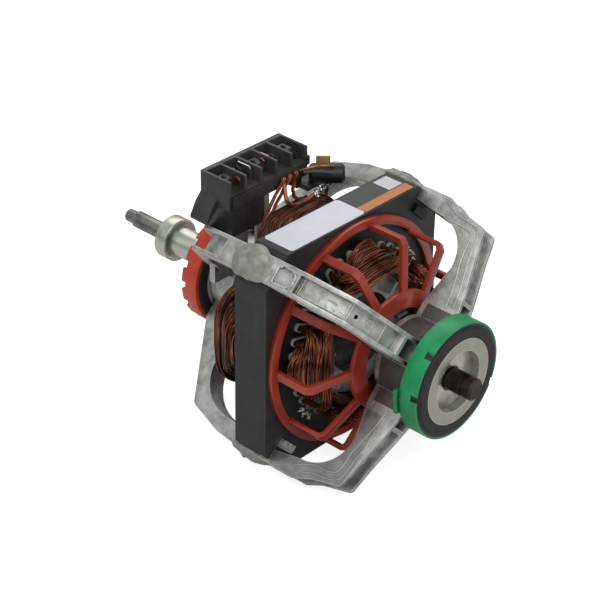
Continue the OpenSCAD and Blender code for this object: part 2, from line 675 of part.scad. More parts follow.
// Thermal protector, its tab, and the copper leads between windings and switch
protector_end = 1.5;
protector_flat = 0.4;
module protector_place() {
    translate([protector_at[0], protector_at[1], protector_z + protector_r - protector_flat])
        rotate([0, 0, protector_turn]) children();
}
module tab_shape() {
    protector_place() translate([-6.2, -0.5, protector_r - 2.6]) cube([8, 1, 8]);
}
module thermal_protector() {
    half = protector_len / 2;
    color([0.14, 0.12, 0.12]) rear_end() difference() {
        protector_place() rotate([0, 90, 0]) rotate_extrude() polygon([[0, -half], [protector_r - protector_end, -half],
            [protector_r, protector_end - half], [protector_r, half - protector_end],
            [protector_r - protector_end, half], [0, half]]);
        protector_place() translate([-half - eps, -protector_r, -protector_r - 1])
            cube([protector_len + 2 * eps, 2 * protector_r, 1 + protector_flat]);
        tab_shape();
    }
}
module protector_tab() { color([0.78, 0.68, 0.35]) rear_end() tab_shape(); }
lead_d = 2;
// Routes as distance outward from the rear stack face, place across and height
lead_routes = [
    [[switch_front, -6, 77.6], [switch_front - 1.5, -6, 77.6], [25, -11, 71], [24.8, -17, 64], [24.6, -21, 58], [23.4, -24, 53],
        [22.6, -24.6, 50.6]],
    [[switch_front, -1, 77.6], [switch_front - 1.5, -1, 77.6], [24.8, -6, 71], [24.8, -11, 65], [24.7, -15, 60], [24.2, -17, 57],
        [23.6, -18, 55.2]],
    [[switch_front, 4, 77.6], [switch_front - 1.5, 4, 77.6], [25, 2.4, 71], [25, 2.2, 66], [25, 4.6, 61.6], [24.9, 11, 58.6],
        [23.6, 18, 55.2]],
    [[protector_at[0], protector_at[1], protector_z], [protector_at[0], protector_at[1], protector_z - 1.5],
        [20.5, 25, 60], [21.5, 25, 55], [22.3, 24.6, 51.2]]
];
module lead_wires() {
    color(copper_colour) rear_end() for (route = lead_routes)
        tube(route, [for (p = route) [0, 1, 0.2]], lead_d / 2, 8);
}

// Rotor: everything below turns with the shaft
module rotor_shaft() {
    neck_u = front_tip_u - 7;
    groove = 0.7;
    color([0.25, 0.21, 0.18]) from_stack() turned([
        [0, -face - rear_tip_u], [rear_pin_r - 1, -face - rear_tip_u], [rear_pin_r, 1 - face - rear_tip_u],
        [rear_pin_r, rear_pin_len - face - rear_tip_u], [rear_shaft_r, rear_pin_len + 1 - face - rear_tip_u],
        [rear_shaft_r, -face - pulley_end_u], [shaft_r, -face - pulley_end_u],
        [shaft_r, face + neck_u], [shaft_r - groove, face + neck_u], [shaft_r - groove, face + neck_u + 1.5],
        [shaft_r, face + neck_u + 1.5], [shaft_r, face + front_tip_u - 1.2],
        [shaft_r - 1.2, face + front_tip_u], [0, face + front_tip_u]]);
}
module each_bar() {
    for (i = [0 : bar_count - 1]) rotate([360 / bar_count * i, 0, 0]) translate([-face, rotor_r - bar_r - 2, 0])
        rotate([0, 90, 0]) cylinder(r = bar_r, h = stack_t, $fn = 24);
}
module rotor_core() {
    color([0.3, 0.3, 0.31]) from_stack() difference() {
        ring_part(shaft_r, rotor_r, -face, stack_t);
        each_bar();
    }
}
module rotor_bars() { color([0.7, 0.71, 0.72]) from_stack() each_bar(); }
module fan_ring() {
    ring_out = rotor_r - 1.6;
    ring_in = ring_out - 12;
    color([0.7, 0.71, 0.72]) {
        ring_part(ring_in, ring_out, 0, end_ring_t);
        for (i = [0 : blade_count - 1]) rotate([360 / blade_count * i, 0, 0])
            box([end_ring_t - eps, end_ring_t + blade_h], [ring_in + 2, ring_out - 2], [-1, 1]);
    }
}
module front_fan_ring() { front_end() fan_ring(); }
module rear_fan_ring() { rear_end() fan_ring(); }
pulley_start_u = rear_face_u + 8.8;
pulley_end_u = pulley_start_u + pulley_belt_w + 3 + pulley_flange_w;
module belt_pulley() {
    flange_u = pulley_end_u - pulley_flange_w;
    lip = 1.4;
    color([0.7, 0.69, 0.6]) rear_end() turned([
        [shaft_r, pulley_start_u], [pulley_belt_r + 2, pulley_start_u], [pulley_belt_r + 2, pulley_start_u + 1.5],
        [pulley_belt_r, pulley_start_u + 3], [pulley_belt_r, pulley_start_u + 3 + pulley_belt_w],
        [pulley_belt_r, flange_u + 3], [pulley_flange_r - lip, flange_u], [pulley_flange_r, flange_u],
        [pulley_flange_r, pulley_end_u], [shaft_r, pulley_end_u]]);
}
module thrust_collar(bearing) {
    color([0.6, 0.6, 0.6]) ring_part(shaft_r, thrust_r, bearing - rest_gap - washer_t - thrust_collar_t, thrust_collar_t);
}
module thrust_washer(bearing) {
    color([0.5, 0.28, 0.15]) ring_part(shaft_r, thrust_r, bearing - rest_gap - washer_t, washer_t);
}
module front_thrust_collar() { front_end() thrust_collar(front_bearing_u); }
module rear_thrust_collar() { rear_end() thrust_collar(rear_bearing_u); }
module front_thrust_washer() { front_end() thrust_washer(front_bearing_u); }
module rear_thrust_washer() { rear_end() thrust_washer(rear_bearing_u); }

// Governor: two weights on pins in a pressed base swing out and draw the spool forward
module both_sides() { for (a = [0, 180]) rotate([a, 0, 0]) children(); }
module pin_hole(r, length) { translate([pivot_u, 0, pivot_r]) rotate([90, 0, 0]) cylinder(r = r, h = length, center = true); }
module governor_base() {
    ear_out_y = ear_in_y + ear_t;
    web_z = [spool_flange_r + 1, spool_flange_r + 4.5];
    color([0.62, 0.62, 0.6]) rear_end() difference() {
        union() {
            ring_part(shaft_r, spool_sleeve_r, base_u, 7);
            both_sides() {
                box([base_u, base_u + base_t], [-ear_out_y, ear_out_y], [shaft_r + 1, web_z[1]]);
                for (side = [0, 1]) mirror([0, side, 0]) {
                    box([base_u, pivot_u + 2.6], [ear_in_y, ear_out_y], web_z);
                    box([pivot_u - 2.6, pivot_u + 2.6], [ear_in_y, ear_out_y], [web_z[0], pivot_r + 2.6]);
                }
            }
        }
        both_sides() pin_hole(pivot_pin_r, 4 * ear_out_y);
    }
}
module governor_pins() {
    color([0.75, 0.75, 0.74]) rear_end() both_sides() pin_hole(pivot_pin_r, 2 * (ear_in_y + ear_t) + 0.6);
}
module governor_spool() {
    bore = shaft_r + 0.06;
    small_r = spool_flange_r - 1;
    flange_u = pivot_u + spool_groove_w / 2;
    groove_u = pivot_u - spool_groove_w / 2;
    color([0.85, 0.83, 0.75]) rear_end() turned([
        [bore, spool_u], [spool_flange_r, spool_u], [spool_flange_r, spool_u - spool_flange_t],
        [spool_sleeve_r, spool_u - spool_flange_t], [spool_sleeve_r, flange_u + small_flange_t],
        [small_r, flange_u + small_flange_t], [small_r, flange_u], [spool_sleeve_r, flange_u],
        [spool_sleeve_r, groove_u], [small_r, groove_u], [small_r, groove_u - small_flange_t],
        [bore, groove_u - small_flange_t]]);
}
module governor_weight() {
    finger_z = [finger_tip_r, pivot_r];
    color([0.55, 0.56, 0.57]) rear_end() difference() {
        union() {
            box([base_u + base_t + 1.5, pivot_u - 2], [-weight_half_y, weight_half_y], [pivot_r - 3.5, pivot_r + 5]);
            pin_hole(3, 2 * weight_half_y);
            box([pivot_u - finger_t / 2, pivot_u + finger_t / 2], [-2.5, 2.5], finger_z);
            for (side = [0, 1]) mirror([0, side, 0]) translate([spring_u, 0, peg_z]) rotate([-90, 0, 0])
                cylinder(r = 0.9, h = spring_y + spring_r + 0.6, $fn = 24);
        }
        pin_hole(pivot_pin_r + pivot_play, 4 * weight_half_y);
    }
}
module governor_weight_upper() { governor_weight(); }
module governor_weight_lower() { from_stack() rotate([180, 0, 0]) translate([face + front_ring_u, 0, 0]) governor_weight(); }

// Return springs between the pegs of the two weights, each an open coil of turns
spring_wire = 0.7;
module governor_springs() {
    length = 2 * (peg_z - 1.2);
    color([0.7, 0.7, 0.7]) rear_end() for (side = [-1, 1]) translate([spring_u, side * spring_y, -length / 2])
        difference() {
            cylinder(r = spring_r, h = length);
            translate([0, 0, -eps]) cylinder(r = spring_r - spring_wire, h = length + 2 * eps);
        }
}

stator_core();
slot_liners();
stack_cleats();
data_label();
wiring_label();
main_coil_right();
main_coil_top();
main_coil_left();
main_coil_bottom();
start_coil_top_right();
start_coil_top_left();
start_coil_bottom_left();
start_coil_bottom_right();
winding_guard();
front_end_shield();
rear_end_shield();
corner_bonds();
front_bearing();
rear_bearing();
front_oil_felt();
rear_oil_felt();
front_felt_retainer();
rear_felt_retainer();
front_bearing_cap();
rear_bearing_cap();
front_rubber_ring();
rear_rubber_ring();
front_mount_band();
rear_mount_band();
switch_housing();
switch_screws();
spade_terminals();
contact_blades();
lever_pin();
thermal_protector();
protector_tab();
lead_wires();
switch_lever();
rotor_shaft();
rotor_core();
rotor_bars();
front_fan_ring();
rear_fan_ring();
belt_pulley();
front_thrust_collar();
rear_thrust_collar();
front_thrust_washer();
rear_thrust_washer();
governor_base();
governor_pins();
governor_springs();
governor_spool();
governor_weight_upper();
governor_weight_lower();
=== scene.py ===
import json
import math
import random
import bpy
import bmesh
from mathutils import Matrix, Vector, noise as noiseField


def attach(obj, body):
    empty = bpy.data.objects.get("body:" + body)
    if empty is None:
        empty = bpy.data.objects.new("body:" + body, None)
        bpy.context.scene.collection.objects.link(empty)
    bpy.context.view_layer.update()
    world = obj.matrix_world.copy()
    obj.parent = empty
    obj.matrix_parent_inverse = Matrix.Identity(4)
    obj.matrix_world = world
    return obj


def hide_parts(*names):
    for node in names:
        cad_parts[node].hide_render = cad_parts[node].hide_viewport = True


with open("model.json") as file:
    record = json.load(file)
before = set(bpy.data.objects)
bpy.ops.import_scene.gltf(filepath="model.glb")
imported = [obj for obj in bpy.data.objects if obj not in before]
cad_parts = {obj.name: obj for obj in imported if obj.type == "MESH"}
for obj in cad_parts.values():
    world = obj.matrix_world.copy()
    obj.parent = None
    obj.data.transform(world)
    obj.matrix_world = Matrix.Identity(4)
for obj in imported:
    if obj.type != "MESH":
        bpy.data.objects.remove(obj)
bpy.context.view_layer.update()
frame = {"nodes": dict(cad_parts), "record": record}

stackMiddle = Vector((-0.0815, 0.0, 0.0))  # centre of the lamination stack on the shaft axis
halfStack = 0.0115  # half the length of the stack
print("stage: frame loaded")


def hexColour(code):
    values = [int(code[i:i + 2], 16) / 255 for i in (1, 3, 5)]
    return tuple(v / 12.92 if v <= 0.04045 else ((v + 0.055) / 1.055) ** 2.4 for v in values) + (1.0,)


def addNode(tree, kind, settings=None, links=None):
    node = tree.nodes.new(kind)
    for key, value in (settings or {}).items():
        if isinstance(key, str) and hasattr(node, key):
            setattr(node, key, value)
        else:
            node.inputs[key].default_value = value
    for key, source in (links or {}).items():
        tree.links.new(source, node.inputs[key])
    return node


def addPiece(name, mesh, finish=None):
    piece = bpy.data.objects.new(name, mesh)
    bpy.context.scene.collection.objects.link(piece)
    if finish:
        mesh.materials.clear()
        mesh.materials.append(finish)
    return piece


def smoothByAngle(mesh, degrees=35):
    mesh.polygons.foreach_set("use_smooth", [True] * len(mesh.polygons))
    mesh.set_sharp_from_angle(angle=math.radians(degrees))


# The camera stands where the photograph was taken from, with its focal length and tilt.
camera = {
    "azimuth": 42.632,  # degrees from -Y toward +X
    "elevation": 31.979,
    "distance": 1.0936,
    "focalLength": 117.354,  # on a 36 mm sensor
    "right": -0.020436,
    "up": 0.011093,
    "roll": 0.93,
}


def placeCamera():
    a, e, roll = (math.radians(camera[k]) for k in ("azimuth", "elevation", "roll"))
    back = Vector((math.sin(a) * math.cos(e), -math.cos(a) * math.cos(e), math.sin(e)))
    right = Vector((math.cos(a), math.sin(a), 0))
    up = back.cross(right)
    across = right * math.cos(roll) + up * math.sin(roll)
    upward = up * math.cos(roll) - right * math.sin(roll)
    spot = stackMiddle + back * camera["distance"] + across * camera["right"] + upward * camera["up"]
    lens = bpy.data.cameras.new("photoCamera")
    lens.lens, lens.sensor_width, lens.sensor_fit = camera["focalLength"], 36, "HORIZONTAL"
    lens.clip_start, lens.clip_end = 0.05, 20
    holder = bpy.data.objects.new("photoCamera", lens)
    bpy.context.scene.collection.objects.link(holder)
    turn = Matrix((across, upward, back)).transposed().to_4x4()
    holder.matrix_world = Matrix.Translation(spot) @ turn
    bpy.context.scene.camera = holder


placeCamera()
print("stage: camera placed")

finishes = {}


def newFinish(name, roughness, metallic=0.0, colour=None, **extra):
    finish = bpy.data.materials.new(name)
    finish.use_nodes = True
    tree = finish.node_tree
    shader = tree.nodes["Principled BSDF"]
    shader.inputs["Roughness"].default_value = roughness
    shader.inputs["Metallic"].default_value = metallic
    for key, value in extra.items():
        shader.inputs[key.replace("_", " ")].default_value = value
    if colour:
        shader.inputs["Base Color"].default_value = hexColour(colour)
    place = addNode(tree, "ShaderNodeTexCoord")
    finishes[name] = finish
    return tree, shader, place.outputs["Object"]


def noise(tree, place, perMetre, detail=4, roughness=0.55, stretch=None):
    source = place
    if stretch:
        source = addNode(tree, "ShaderNodeMapping", {"Scale": stretch}, {"Vector": place}).outputs[0]
    return addNode(tree, "ShaderNodeTexNoise", {"Scale": perMetre, "Detail": detail, "Roughness": roughness},
                   {"Vector": source}).outputs["Fac"]


def ramp(tree, source, stops):
    node = addNode(tree, "ShaderNodeValToRGB", None, {"Fac": source})
    elements = node.color_ramp.elements
    while len(elements) < len(stops):
        elements.new(0.5)
    for element, (at, colour) in zip(elements, stops):
        element.position = at
        element.color = hexColour(colour) if isinstance(colour, str) else (colour, colour, colour, 1)
    return node.outputs["Color"]


def bump(tree, shader, height, depth, strength=1.0, onto=None):
    links = {"Height": height}
    if onto:
        links["Normal"] = onto
    node = addNode(tree, "ShaderNodeBump", {"Strength": strength, "Distance": depth}, links)
    tree.links.new(node.outputs["Normal"], shader.inputs["Normal"])
    return node.outputs["Normal"]


def paint(tree, shader, socket, source):
    tree.links.new(source, shader.inputs[socket])


def inside(tree, source, low, high):
    above = addNode(tree, "ShaderNodeMath", {"operation": "GREATER_THAN", 1: low}, {0: source}).outputs[0]
    below = addNode(tree, "ShaderNodeMath", {"operation": "LESS_THAN", 1: high}, {0: source}).outputs[0]
    return addNode(tree, "ShaderNodeMath", {"operation": "MULTIPLY"}, {0: above, 1: below}).outputs[0]


def layer(tree, mask, under, over):
    node = addNode(tree, "ShaderNodeMix", {"data_type": "RGBA"})
    for slot, source in ((0, mask), (6, under), (7, over)):
        if isinstance(source, str):
            node.inputs[slot].default_value = hexColour(source)
        else:
            tree.links.new(source, node.inputs[slot])
    return node.outputs[2]


# Painted highlight: a mask for the sharp edges, where the bevel normal turns away from the face normal
def edgeHighlightMask(tree, radius):
    soft = addNode(tree, "ShaderNodeBevel", {"samples": 4, "Radius": radius}).outputs[0]
    plain = addNode(tree, "ShaderNodeNewGeometry").outputs["Normal"]
    same = addNode(tree, "ShaderNodeVectorMath", {"operation": "DOT_PRODUCT"},
                   {0: soft, 1: plain}).outputs["Value"]
    return ramp(tree, same, [(0.86, 1.0), (0.985, 0.0)])


# Painted shade: a darker colour where ambient occlusion finds close surfaces, in crevices and between parts
def creviceShade(tree, reach, low, high):
    openness = addNode(tree, "ShaderNodeAmbientOcclusion", {"samples": 4, "Distance": reach}).outputs["AO"]
    return ramp(tree, openness, [(low, 1.0), (high, 0.0)])


def shaftAxes(tree, place):
    axes = addNode(tree, "ShaderNodeSeparateXYZ", None, {0: place}).outputs
    across = addNode(tree, "ShaderNodeCombineXYZ", None, {1: axes["Y"], 2: axes["Z"]}).outputs[0]
    return axes["X"], addNode(tree, "ShaderNodeVectorMath", {"operation": "LENGTH"},
                              {0: across}).outputs["Value"]


def both(tree, one, other):
    return addNode(tree, "ShaderNodeMath", {"operation": "MULTIPLY"}, {0: one, 1: other}).outputs[0]


# Die-cast aluminium, as cast: a dull grey skin with flow marks and fine pits
tree, shader, place = newFinish("castAluminium", 0.42, 0.8)
cloud = noise(tree, place, 45, 5)
grain = noise(tree, place, 900, 3)
skin = ramp(tree, noise(tree, place, 110, 6, 0.65),
            [(0.3, "#83847f"), (0.45, "#b4b5b0"), (0.6, "#cecfca"), (0.75, "#e8e8e4")])
along, fromShaft = shaftAxes(tree, place)
# Painted shade: the hub body behind the front ring is darker grey; the ring's own face is a warm grey
hubShade = both(tree, inside(tree, along, -0.03, -0.0066), inside(tree, fromShaft, 0.0, 0.031))
ringFace = both(tree, inside(tree, along, 0.0058, 0.01), inside(tree, fromShaft, 0.0, 0.033))
skin = layer(tree, ringFace, layer(tree, hubShade, skin, "#6a6b68"), "#b3b0a4")
# Painted shade: the lower front arms are darkened
height = addNode(tree, "ShaderNodeSeparateXYZ", None, {0: place}).outputs["Z"]
lower = both(tree, inside(tree, height, -0.1, -0.02), inside(tree, along, -0.069, -0.02))
lowerArmShade = addNode(tree, "ShaderNodeMath", {"operation": "MULTIPLY", 1: 0.55}, {0: lower}).outputs[0]
skin = layer(tree, lowerArmShade, skin, "#7b7a77")
# Painted shade: the aluminium goes dark grey in its crevices and recesses
skin = layer(tree, creviceShade(tree, 0.005, 0.35, 0.85), skin, "#4c4d4a")
# Painted highlight: near-white along the sharp edges
paint(tree, shader, "Base Color", layer(tree, edgeHighlightMask(tree, 0.0009), skin, "#f4f4f0"))
paint(tree, shader, "Roughness", ramp(tree, noise(tree, place, 160, 4), [(0.3, 0.3), (0.7, 0.55)]))
pits = ramp(tree, noise(tree, place, 420, 2, 0.4), [(0.28, 0.0), (0.36, 1.0)])
bump(tree, shader, grain, 0.00012, 0.6, onto=bump(tree, shader, pits, 0.0003, 0.5,
        onto=bump(tree, shader, cloud, 0.0007, 0.5)))

# Enamelled copper wire: a clear amber coat over bright copper; its tone varies at random along the turns, and
# the light end of that tone is a painted glint
for name, dark, mid, light in (("copperWire", "#4a2012", "#7d3d20", "#bd6f40"),
                               ("startCopperWire", "#32160c", "#5c2b18", "#8a4a2b")):
    tree, shader, place = newFinish(name, 0.28, 0.75, Coat_Weight=0.5, Coat_Roughness=0.15)
    along, fromShaft = shaftAxes(tree, place)
    alongTurns = addNode(tree, "ShaderNodeCombineXYZ", None, {0: along, 1: fromShaft}).outputs[0]
    toneAndGlint = addNode(tree, "ShaderNodeMath", {"operation": "MULTIPLY_ADD", 1: 0.55},
                    {0: noise(tree, alongTurns, 900, 2),
                     2: addNode(tree, "ShaderNodeMath", {"operation": "MULTIPLY", 1: 0.45},
                                                                    {0: noise(tree, place, 90, 3,
                                                                            0.6)}).outputs[0]}).outputs[0]
    wound = ramp(tree, toneAndGlint, [(0.38, dark), (0.5, mid), (0.6, light)])
    # Painted shade: a darker copy of the wire colours on the coils beyond the back of the stack
    rearCoilShade = ramp(tree, toneAndGlint, [(0.38, "#34180e"), (0.52, "#6a3721"), (0.64, "#ad6443")])
    wound = layer(tree, inside(tree, along, -0.2, -0.093), wound, rearCoilShade)
    # Painted shade: near-black between the wires
    paint(tree, shader, "Base Color", layer(tree, creviceShade(tree, 0.004, 0.1, 0.6), wound, "#1a0d08"))

# The same wire where it leaves the winding: a brighter orange enamel
tree, shader, place = newFinish("leadWire", 0.3, 0.6, Coat_Weight=0.4, Coat_Roughness=0.2)
paint(tree, shader, "Base Color", ramp(tree, noise(tree, place, 160, 3),
                                       [(0.35, "#7e3d1f"), (0.7, "#c47444")]))

# Electrical steel laminations under black lacquer: 0.5 mm sheets show as fine lines
tree, shader, place = newFinish("laminations", 0.5, 0.0)
across = addNode(tree, "ShaderNodeTexWave", {"wave_type": "BANDS", "bands_direction": "X", "Scale": 318,
        "Distortion": 0.4, "Detail": 2},
                 {"Vector": place}).outputs["Fac"]
sheet = ramp(tree, noise(tree, place, 60, 4), [(0.3, "#1d1e1e"), (0.6, "#2a2b2b"), (0.8, "#3a3937")])
along, fromShaft = shaftAxes(tree, place)
# Painted shade: the stack is darker within 60.5 mm of the shaft, inside the winding guard
paint(tree, shader, "Base Color", layer(tree, inside(tree, fromShaft, 0.0, 0.0605), sheet, "#171413"))
bump(tree, shader, across, 0.00012, 0.35)

# Red-brown PBT moulding with a soft gloss and a light mould texture
tree, shader, place = newFinish("guardPlastic", 0.28, Coat_Weight=0.25, Coat_Roughness=0.2)
moulding = ramp(tree, noise(tree, place, 50, 3), [(0.3, "#9a2c1b"), (0.7, "#b43d27")])
# Painted shade: dark red in the guard's crevices
moulding = layer(tree, creviceShade(tree, 0.004, 0.3, 0.85), moulding, "#3a100b")
# Painted highlight: a lighter red along the sharp edges
paint(tree, shader, "Base Color", layer(tree, edgeHighlightMask(tree, 0.0006), moulding, "#b8503c"))
bump(tree, shader, noise(tree, place, 1400, 2), 0.00005, 0.3)

# Green and orange-red nylon bands, satin, with faint mottling from the mould
for name, low, high in (("greenBand", "#0f8a52", "#1ba968"), ("orangeBand", "#cc3c20", "#e2502f")):
    tree, shader, place = newFinish(name, 0.36, Subsurface_Weight=0.0)
    nylon = ramp(tree, noise(tree, place, 70, 3), [(0.3, low), (0.7, high)])
    cut = inside(tree, shaftAxes(tree, place)[1], 0.0, 0.03315)
    nylon = layer(tree, cut, nylon, "#15100f") if name == "greenBand" else nylon
    # Painted shade: dark brown in the bands' crevices
    paint(tree, shader, "Base Color", layer(tree, creviceShade(tree, 0.002, 0.4, 0.9), nylon, "#241a14"))
    bump(tree, shader, noise(tree, place, 900, 2), 0.00006, 0.35)

# Moulded black rubber, matt, with a dusty bloom
tree, shader, place = newFinish("blackRubber", 0.6)
paint(tree, shader, "Base Color", ramp(tree, noise(tree, place, 90, 5),
                                       [(0.35, "#191413"), (0.75, "#2d2523")]))
bump(tree, shader, noise(tree, place, 1100, 3), 0.0001, 0.5)

# Black phenolic moulding of the switch: slightly glossy, with flow marks
tree, shader, place = newFinish("switchPlastic", 0.33)
paint(tree, shader, "Base Color", ramp(tree, noise(tree, place, 80, 4),
                                       [(0.3, "#2b2827"), (0.75, "#4a4542")]))
paint(tree, shader, "Roughness", ramp(tree, noise(tree, place, 260, 3), [(0.3, 0.26), (0.7, 0.46)]))
bump(tree, shader, noise(tree, place, 1000, 2), 0.00006, 0.4)

# Oiled dark steel shaft: turned, with faint rings along its length
tree, shader, place = newFinish("darkSteel", 0.34, 0.9)
turned = addNode(tree, "ShaderNodeTexWave", {"bands_direction": "X", "Scale": 420, "Distortion": 1.5,
        "Detail": 3}, {"Vector": place}).outputs["Fac"]
along, fromShaft = shaftAxes(tree, place)
oiled = ramp(tree, noise(tree, place, 120, 5), [(0.3, "#2c2622"), (0.6, "#4a403a"), (0.8, "#6b5f57")])
clean = ramp(tree, noise(tree, place, 120, 5), [(0.3, "#6a6763"), (0.6, "#96938f"), (0.8, "#b5b3b0")])
paint(tree, shader, "Base Color", layer(tree, inside(tree, along, -0.3, -0.14), oiled, clean))
bump(tree, shader, turned, 0.00003, 0.4)

# Bright plated steel, yellow zinc plate with its green and pink cast, and duller pressed steel
tree, shader, place = newFinish("brightSteel", 0.25, 0.95)
paint(tree, shader, "Base Color", ramp(tree, noise(tree, place, 150, 4),
                                       [(0.3, "#b9b9b6"), (0.7, "#d9d9d6")]))
bump(tree, shader, noise(tree, place, 900, 2), 0.00004, 0.3)
# Cleats: the left one bright plated steel, the right one dark
tree, shader, place = newFinish("cleatSteel", 0.3, 0.9)
right = inside(tree, addNode(tree, "ShaderNodeSeparateXYZ", None, {0: place}).outputs["Y"], 0.0, 0.1)
plated = ramp(tree, noise(tree, place, 300, 4), [(0.35, "#a5a5a2"), (0.65, "#f2f2ef")])
paint(tree, shader, "Base Color", layer(tree, right, plated, "#2c2b2a"))
tree, shader, place = newFinish("zincPlate", 0.31, 0.95)
paint(tree, shader, "Base Color", ramp(tree, noise(tree, place, 75, 4, 0.6),
                                       [(0.3, "#a3b0a6"), (0.45, "#cfd6c6"), (0.58, "#d3c9c4"),
                                        (0.75, "#eff0ea")]))
bump(tree, shader, noise(tree, place, 1000, 2, stretch=(1, 1, 1)), 0.00004, 0.3)
tree, shader, place = newFinish("platedCap", 0.28, 0.92)
paint(tree, shader, "Base Color", ramp(tree, noise(tree, place, 90, 4),
                                       [(0.3, "#a9a69a"), (0.5, "#c9c6bb"), (0.75, "#dcdad1")]))
bump(tree, shader, noise(tree, place, 800, 2), 0.00004, 0.35)
tree, shader, place = newFinish("pressedSteel", 0.36, 0.92)
paint(tree, shader, "Base Color", ramp(tree, noise(tree, place, 150, 4),
                                       [(0.3, "#8d8d8b"), (0.7, "#b4b4b1")]))

# Sintered bronze, machined rotor iron, cast rotor aluminium
tree, shader, place = newFinish("sinteredBronze", 0.45, 0.85)
paint(tree, shader, "Base Color", ramp(tree, noise(tree, place, 1500, 3),
                                       [(0.35, "#7d5a32"), (0.7, "#b98a52")]))
tree, shader, place = newFinish("rotorIron", 0.4, 0.8)
paint(tree, shader, "Base Color", ramp(tree, noise(tree, place, 150, 4),
                                       [(0.3, "#3e3e40"), (0.7, "#646466")]))
tree, shader, place = newFinish("rotorAluminium", 0.38, 0.9)
paint(tree, shader, "Base Color", ramp(tree, noise(tree, place, 120, 4),
                                       [(0.3, "#a4a6a8"), (0.7, "#cfd0d1")]))
bump(tree, shader, noise(tree, place, 700, 3), 0.0001, 0.4)

# Papers, felt, fibre, brass, ivory acetal and bonding compound
tree, shader, place = newFinish("whiteLabel", 0.3)
paint(tree, shader, "Base Color", ramp(tree, noise(tree, place, 40, 2), [(0.3, "#dfe2ee"), (0.7, "#eceef6")]))
tree, shader, place = newFinish("darkLabel", 0.35)
sides = addNode(tree, "ShaderNodeSeparateXYZ", None, {0: place}).outputs
stripe = inside(tree, sides["X"], -0.0777, -0.0712)
corner = addNode(tree, "ShaderNodeMath", {"operation": "MULTIPLY"},
                 {0: inside(tree, sides["X"], -0.0905, -0.0785),
                  1: inside(tree, sides["Y"], 0.0375, 0.0485)}).outputs[0]
paint(tree, shader, "Base Color", layer(tree, corner, layer(tree, stripe, "#242427", "#d07c3c"), "#dcdde2"))
# Hardened varnish, coloured near-white so its beads give painted glints
newFinish("varnishGlint", 0.08, 0.0, "#d8d2c6")
tree, shader, place = newFinish("linerPaper", 0.55)
paint(tree, shader, "Base Color", ramp(tree, noise(tree, place, 700, 3),
                                       [(0.3, "#8f9a8f"), (0.7, "#b4bdb2")]))
tree, shader, place = newFinish("oilFelt", 0.9)
paint(tree, shader, "Base Color", ramp(tree, noise(tree, place, 1500, 4),
                                       [(0.3, "#6b6048"), (0.7, "#95896c")]))
bump(tree, shader, noise(tree, place, 2500, 3), 0.0003, 0.7)
tree, shader, place = newFinish("fibreWasher", 0.5)
paint(tree, shader, "Base Color", ramp(tree, noise(tree, place, 600, 3),
                                       [(0.3, "#6d3a1e"), (0.7, "#8a5230")]))
tree, shader, place = newFinish("brassTab", 0.3, 0.75)
paint(tree, shader, "Base Color", ramp(tree, noise(tree, place, 120, 3),
                                       [(0.3, "#d8bd78"), (0.7, "#f2dfa4")]))
tree, shader, place = newFinish("contactBronze", 0.3, 0.95)
paint(tree, shader, "Base Color", ramp(tree, noise(tree, place, 120, 3),
                                       [(0.3, "#b07a3c"), (0.7, "#d9a05a")]))
tree, shader, place = newFinish("ivoryAcetal", 0.4)
paint(tree, shader, "Base Color", ramp(tree, noise(tree, place, 60, 3), [(0.3, "#d9d3bd"), (0.7, "#e6e1cf")]))
tree, shader, place = newFinish("bondCompound", 0.5, 0.35)
paint(tree, shader, "Base Color", ramp(tree, noise(tree, place, 200, 4),
                                       [(0.3, "#878c82"), (0.7, "#b0b4aa")]))
bump(tree, shader, noise(tree, place, 380, 5), 0.0005, 0.7)
# Dark shrink sleeve over the thermal protector
tree, shader, place = newFinish("protectorSleeve", 0.42)
paint(tree, shader, "Base Color", ramp(tree, noise(tree, place, 90, 4),
                                       [(0.3, "#161211"), (0.75, "#272120")]))
bump(tree, shader, noise(tree, place, 500, 3), 0.0002, 0.5)
# Teal-grey woven sleeve over one lead
newFinish("tealSleeve", 0.45, 0.0, "#3c4a49")
print("stage: finishes made", len(finishes))

nodeFinish = {
    "stator_core": "laminations", "slot_liners": "linerPaper", "stack_cleats": "cleatSteel",
    "data_label": "whiteLabel", "wiring_label": "darkLabel", "corner_bonds": "bondCompound",
    "front_bearing": "sinteredBronze", "rear_bearing": "sinteredBronze",
    "front_oil_felt": "oilFelt", "rear_oil_felt": "oilFelt",
    "front_felt_retainer": "brightSteel", "rear_felt_retainer": "brightSteel",
    "front_bearing_cap": "platedCap", "rear_bearing_cap": "platedCap",
    "front_rubber_ring": "blackRubber", "rear_rubber_ring": "blackRubber",
    "front_mount_band": "greenBand", "rear_mount_band": "orangeBand",
    "switch_housing": "switchPlastic", "switch_screws": "brightSteel", "spade_terminals": "brightSteel",
    "contact_blades": "contactBronze", "lever_pin": "brightSteel",
    "thermal_protector": "protectorSleeve", "protector_tab": "brassTab", "lead_wires": "leadWire",
    "switch_lever": "ivoryAcetal", "rotor_shaft": "darkSteel", "rotor_core": "rotorIron",
    "rotor_bars": "rotorAluminium", "front_fan_ring": "rotorAluminium",
    "rear_fan_ring": "rotorAluminium", "belt_pulley": "zincPlate", "winding_guard": "guardPlastic",
    "front_end_shield": "castAluminium", "rear_end_shield": "castAluminium",
    "front_thrust_collar": "pressedSteel", "rear_thrust_collar": "pressedSteel",
    "front_thrust_washer": "fibreWasher", "rear_thrust_washer": "fibreWasher",
    "governor_base": "pressedSteel", "governor_pins": "brightSteel", "governor_springs": "brightSteel",
    "governor_spool": "ivoryAcetal", "governor_weight_upper": "pressedSteel",
    "governor_weight_lower": "pressedSteel",
}
for node, name in nodeFinish.items():
    solid = frame["nodes"][node]
    solid.data.materials.clear()
    solid.data.materials.append(finishes[name])
print("stage: solids finished")

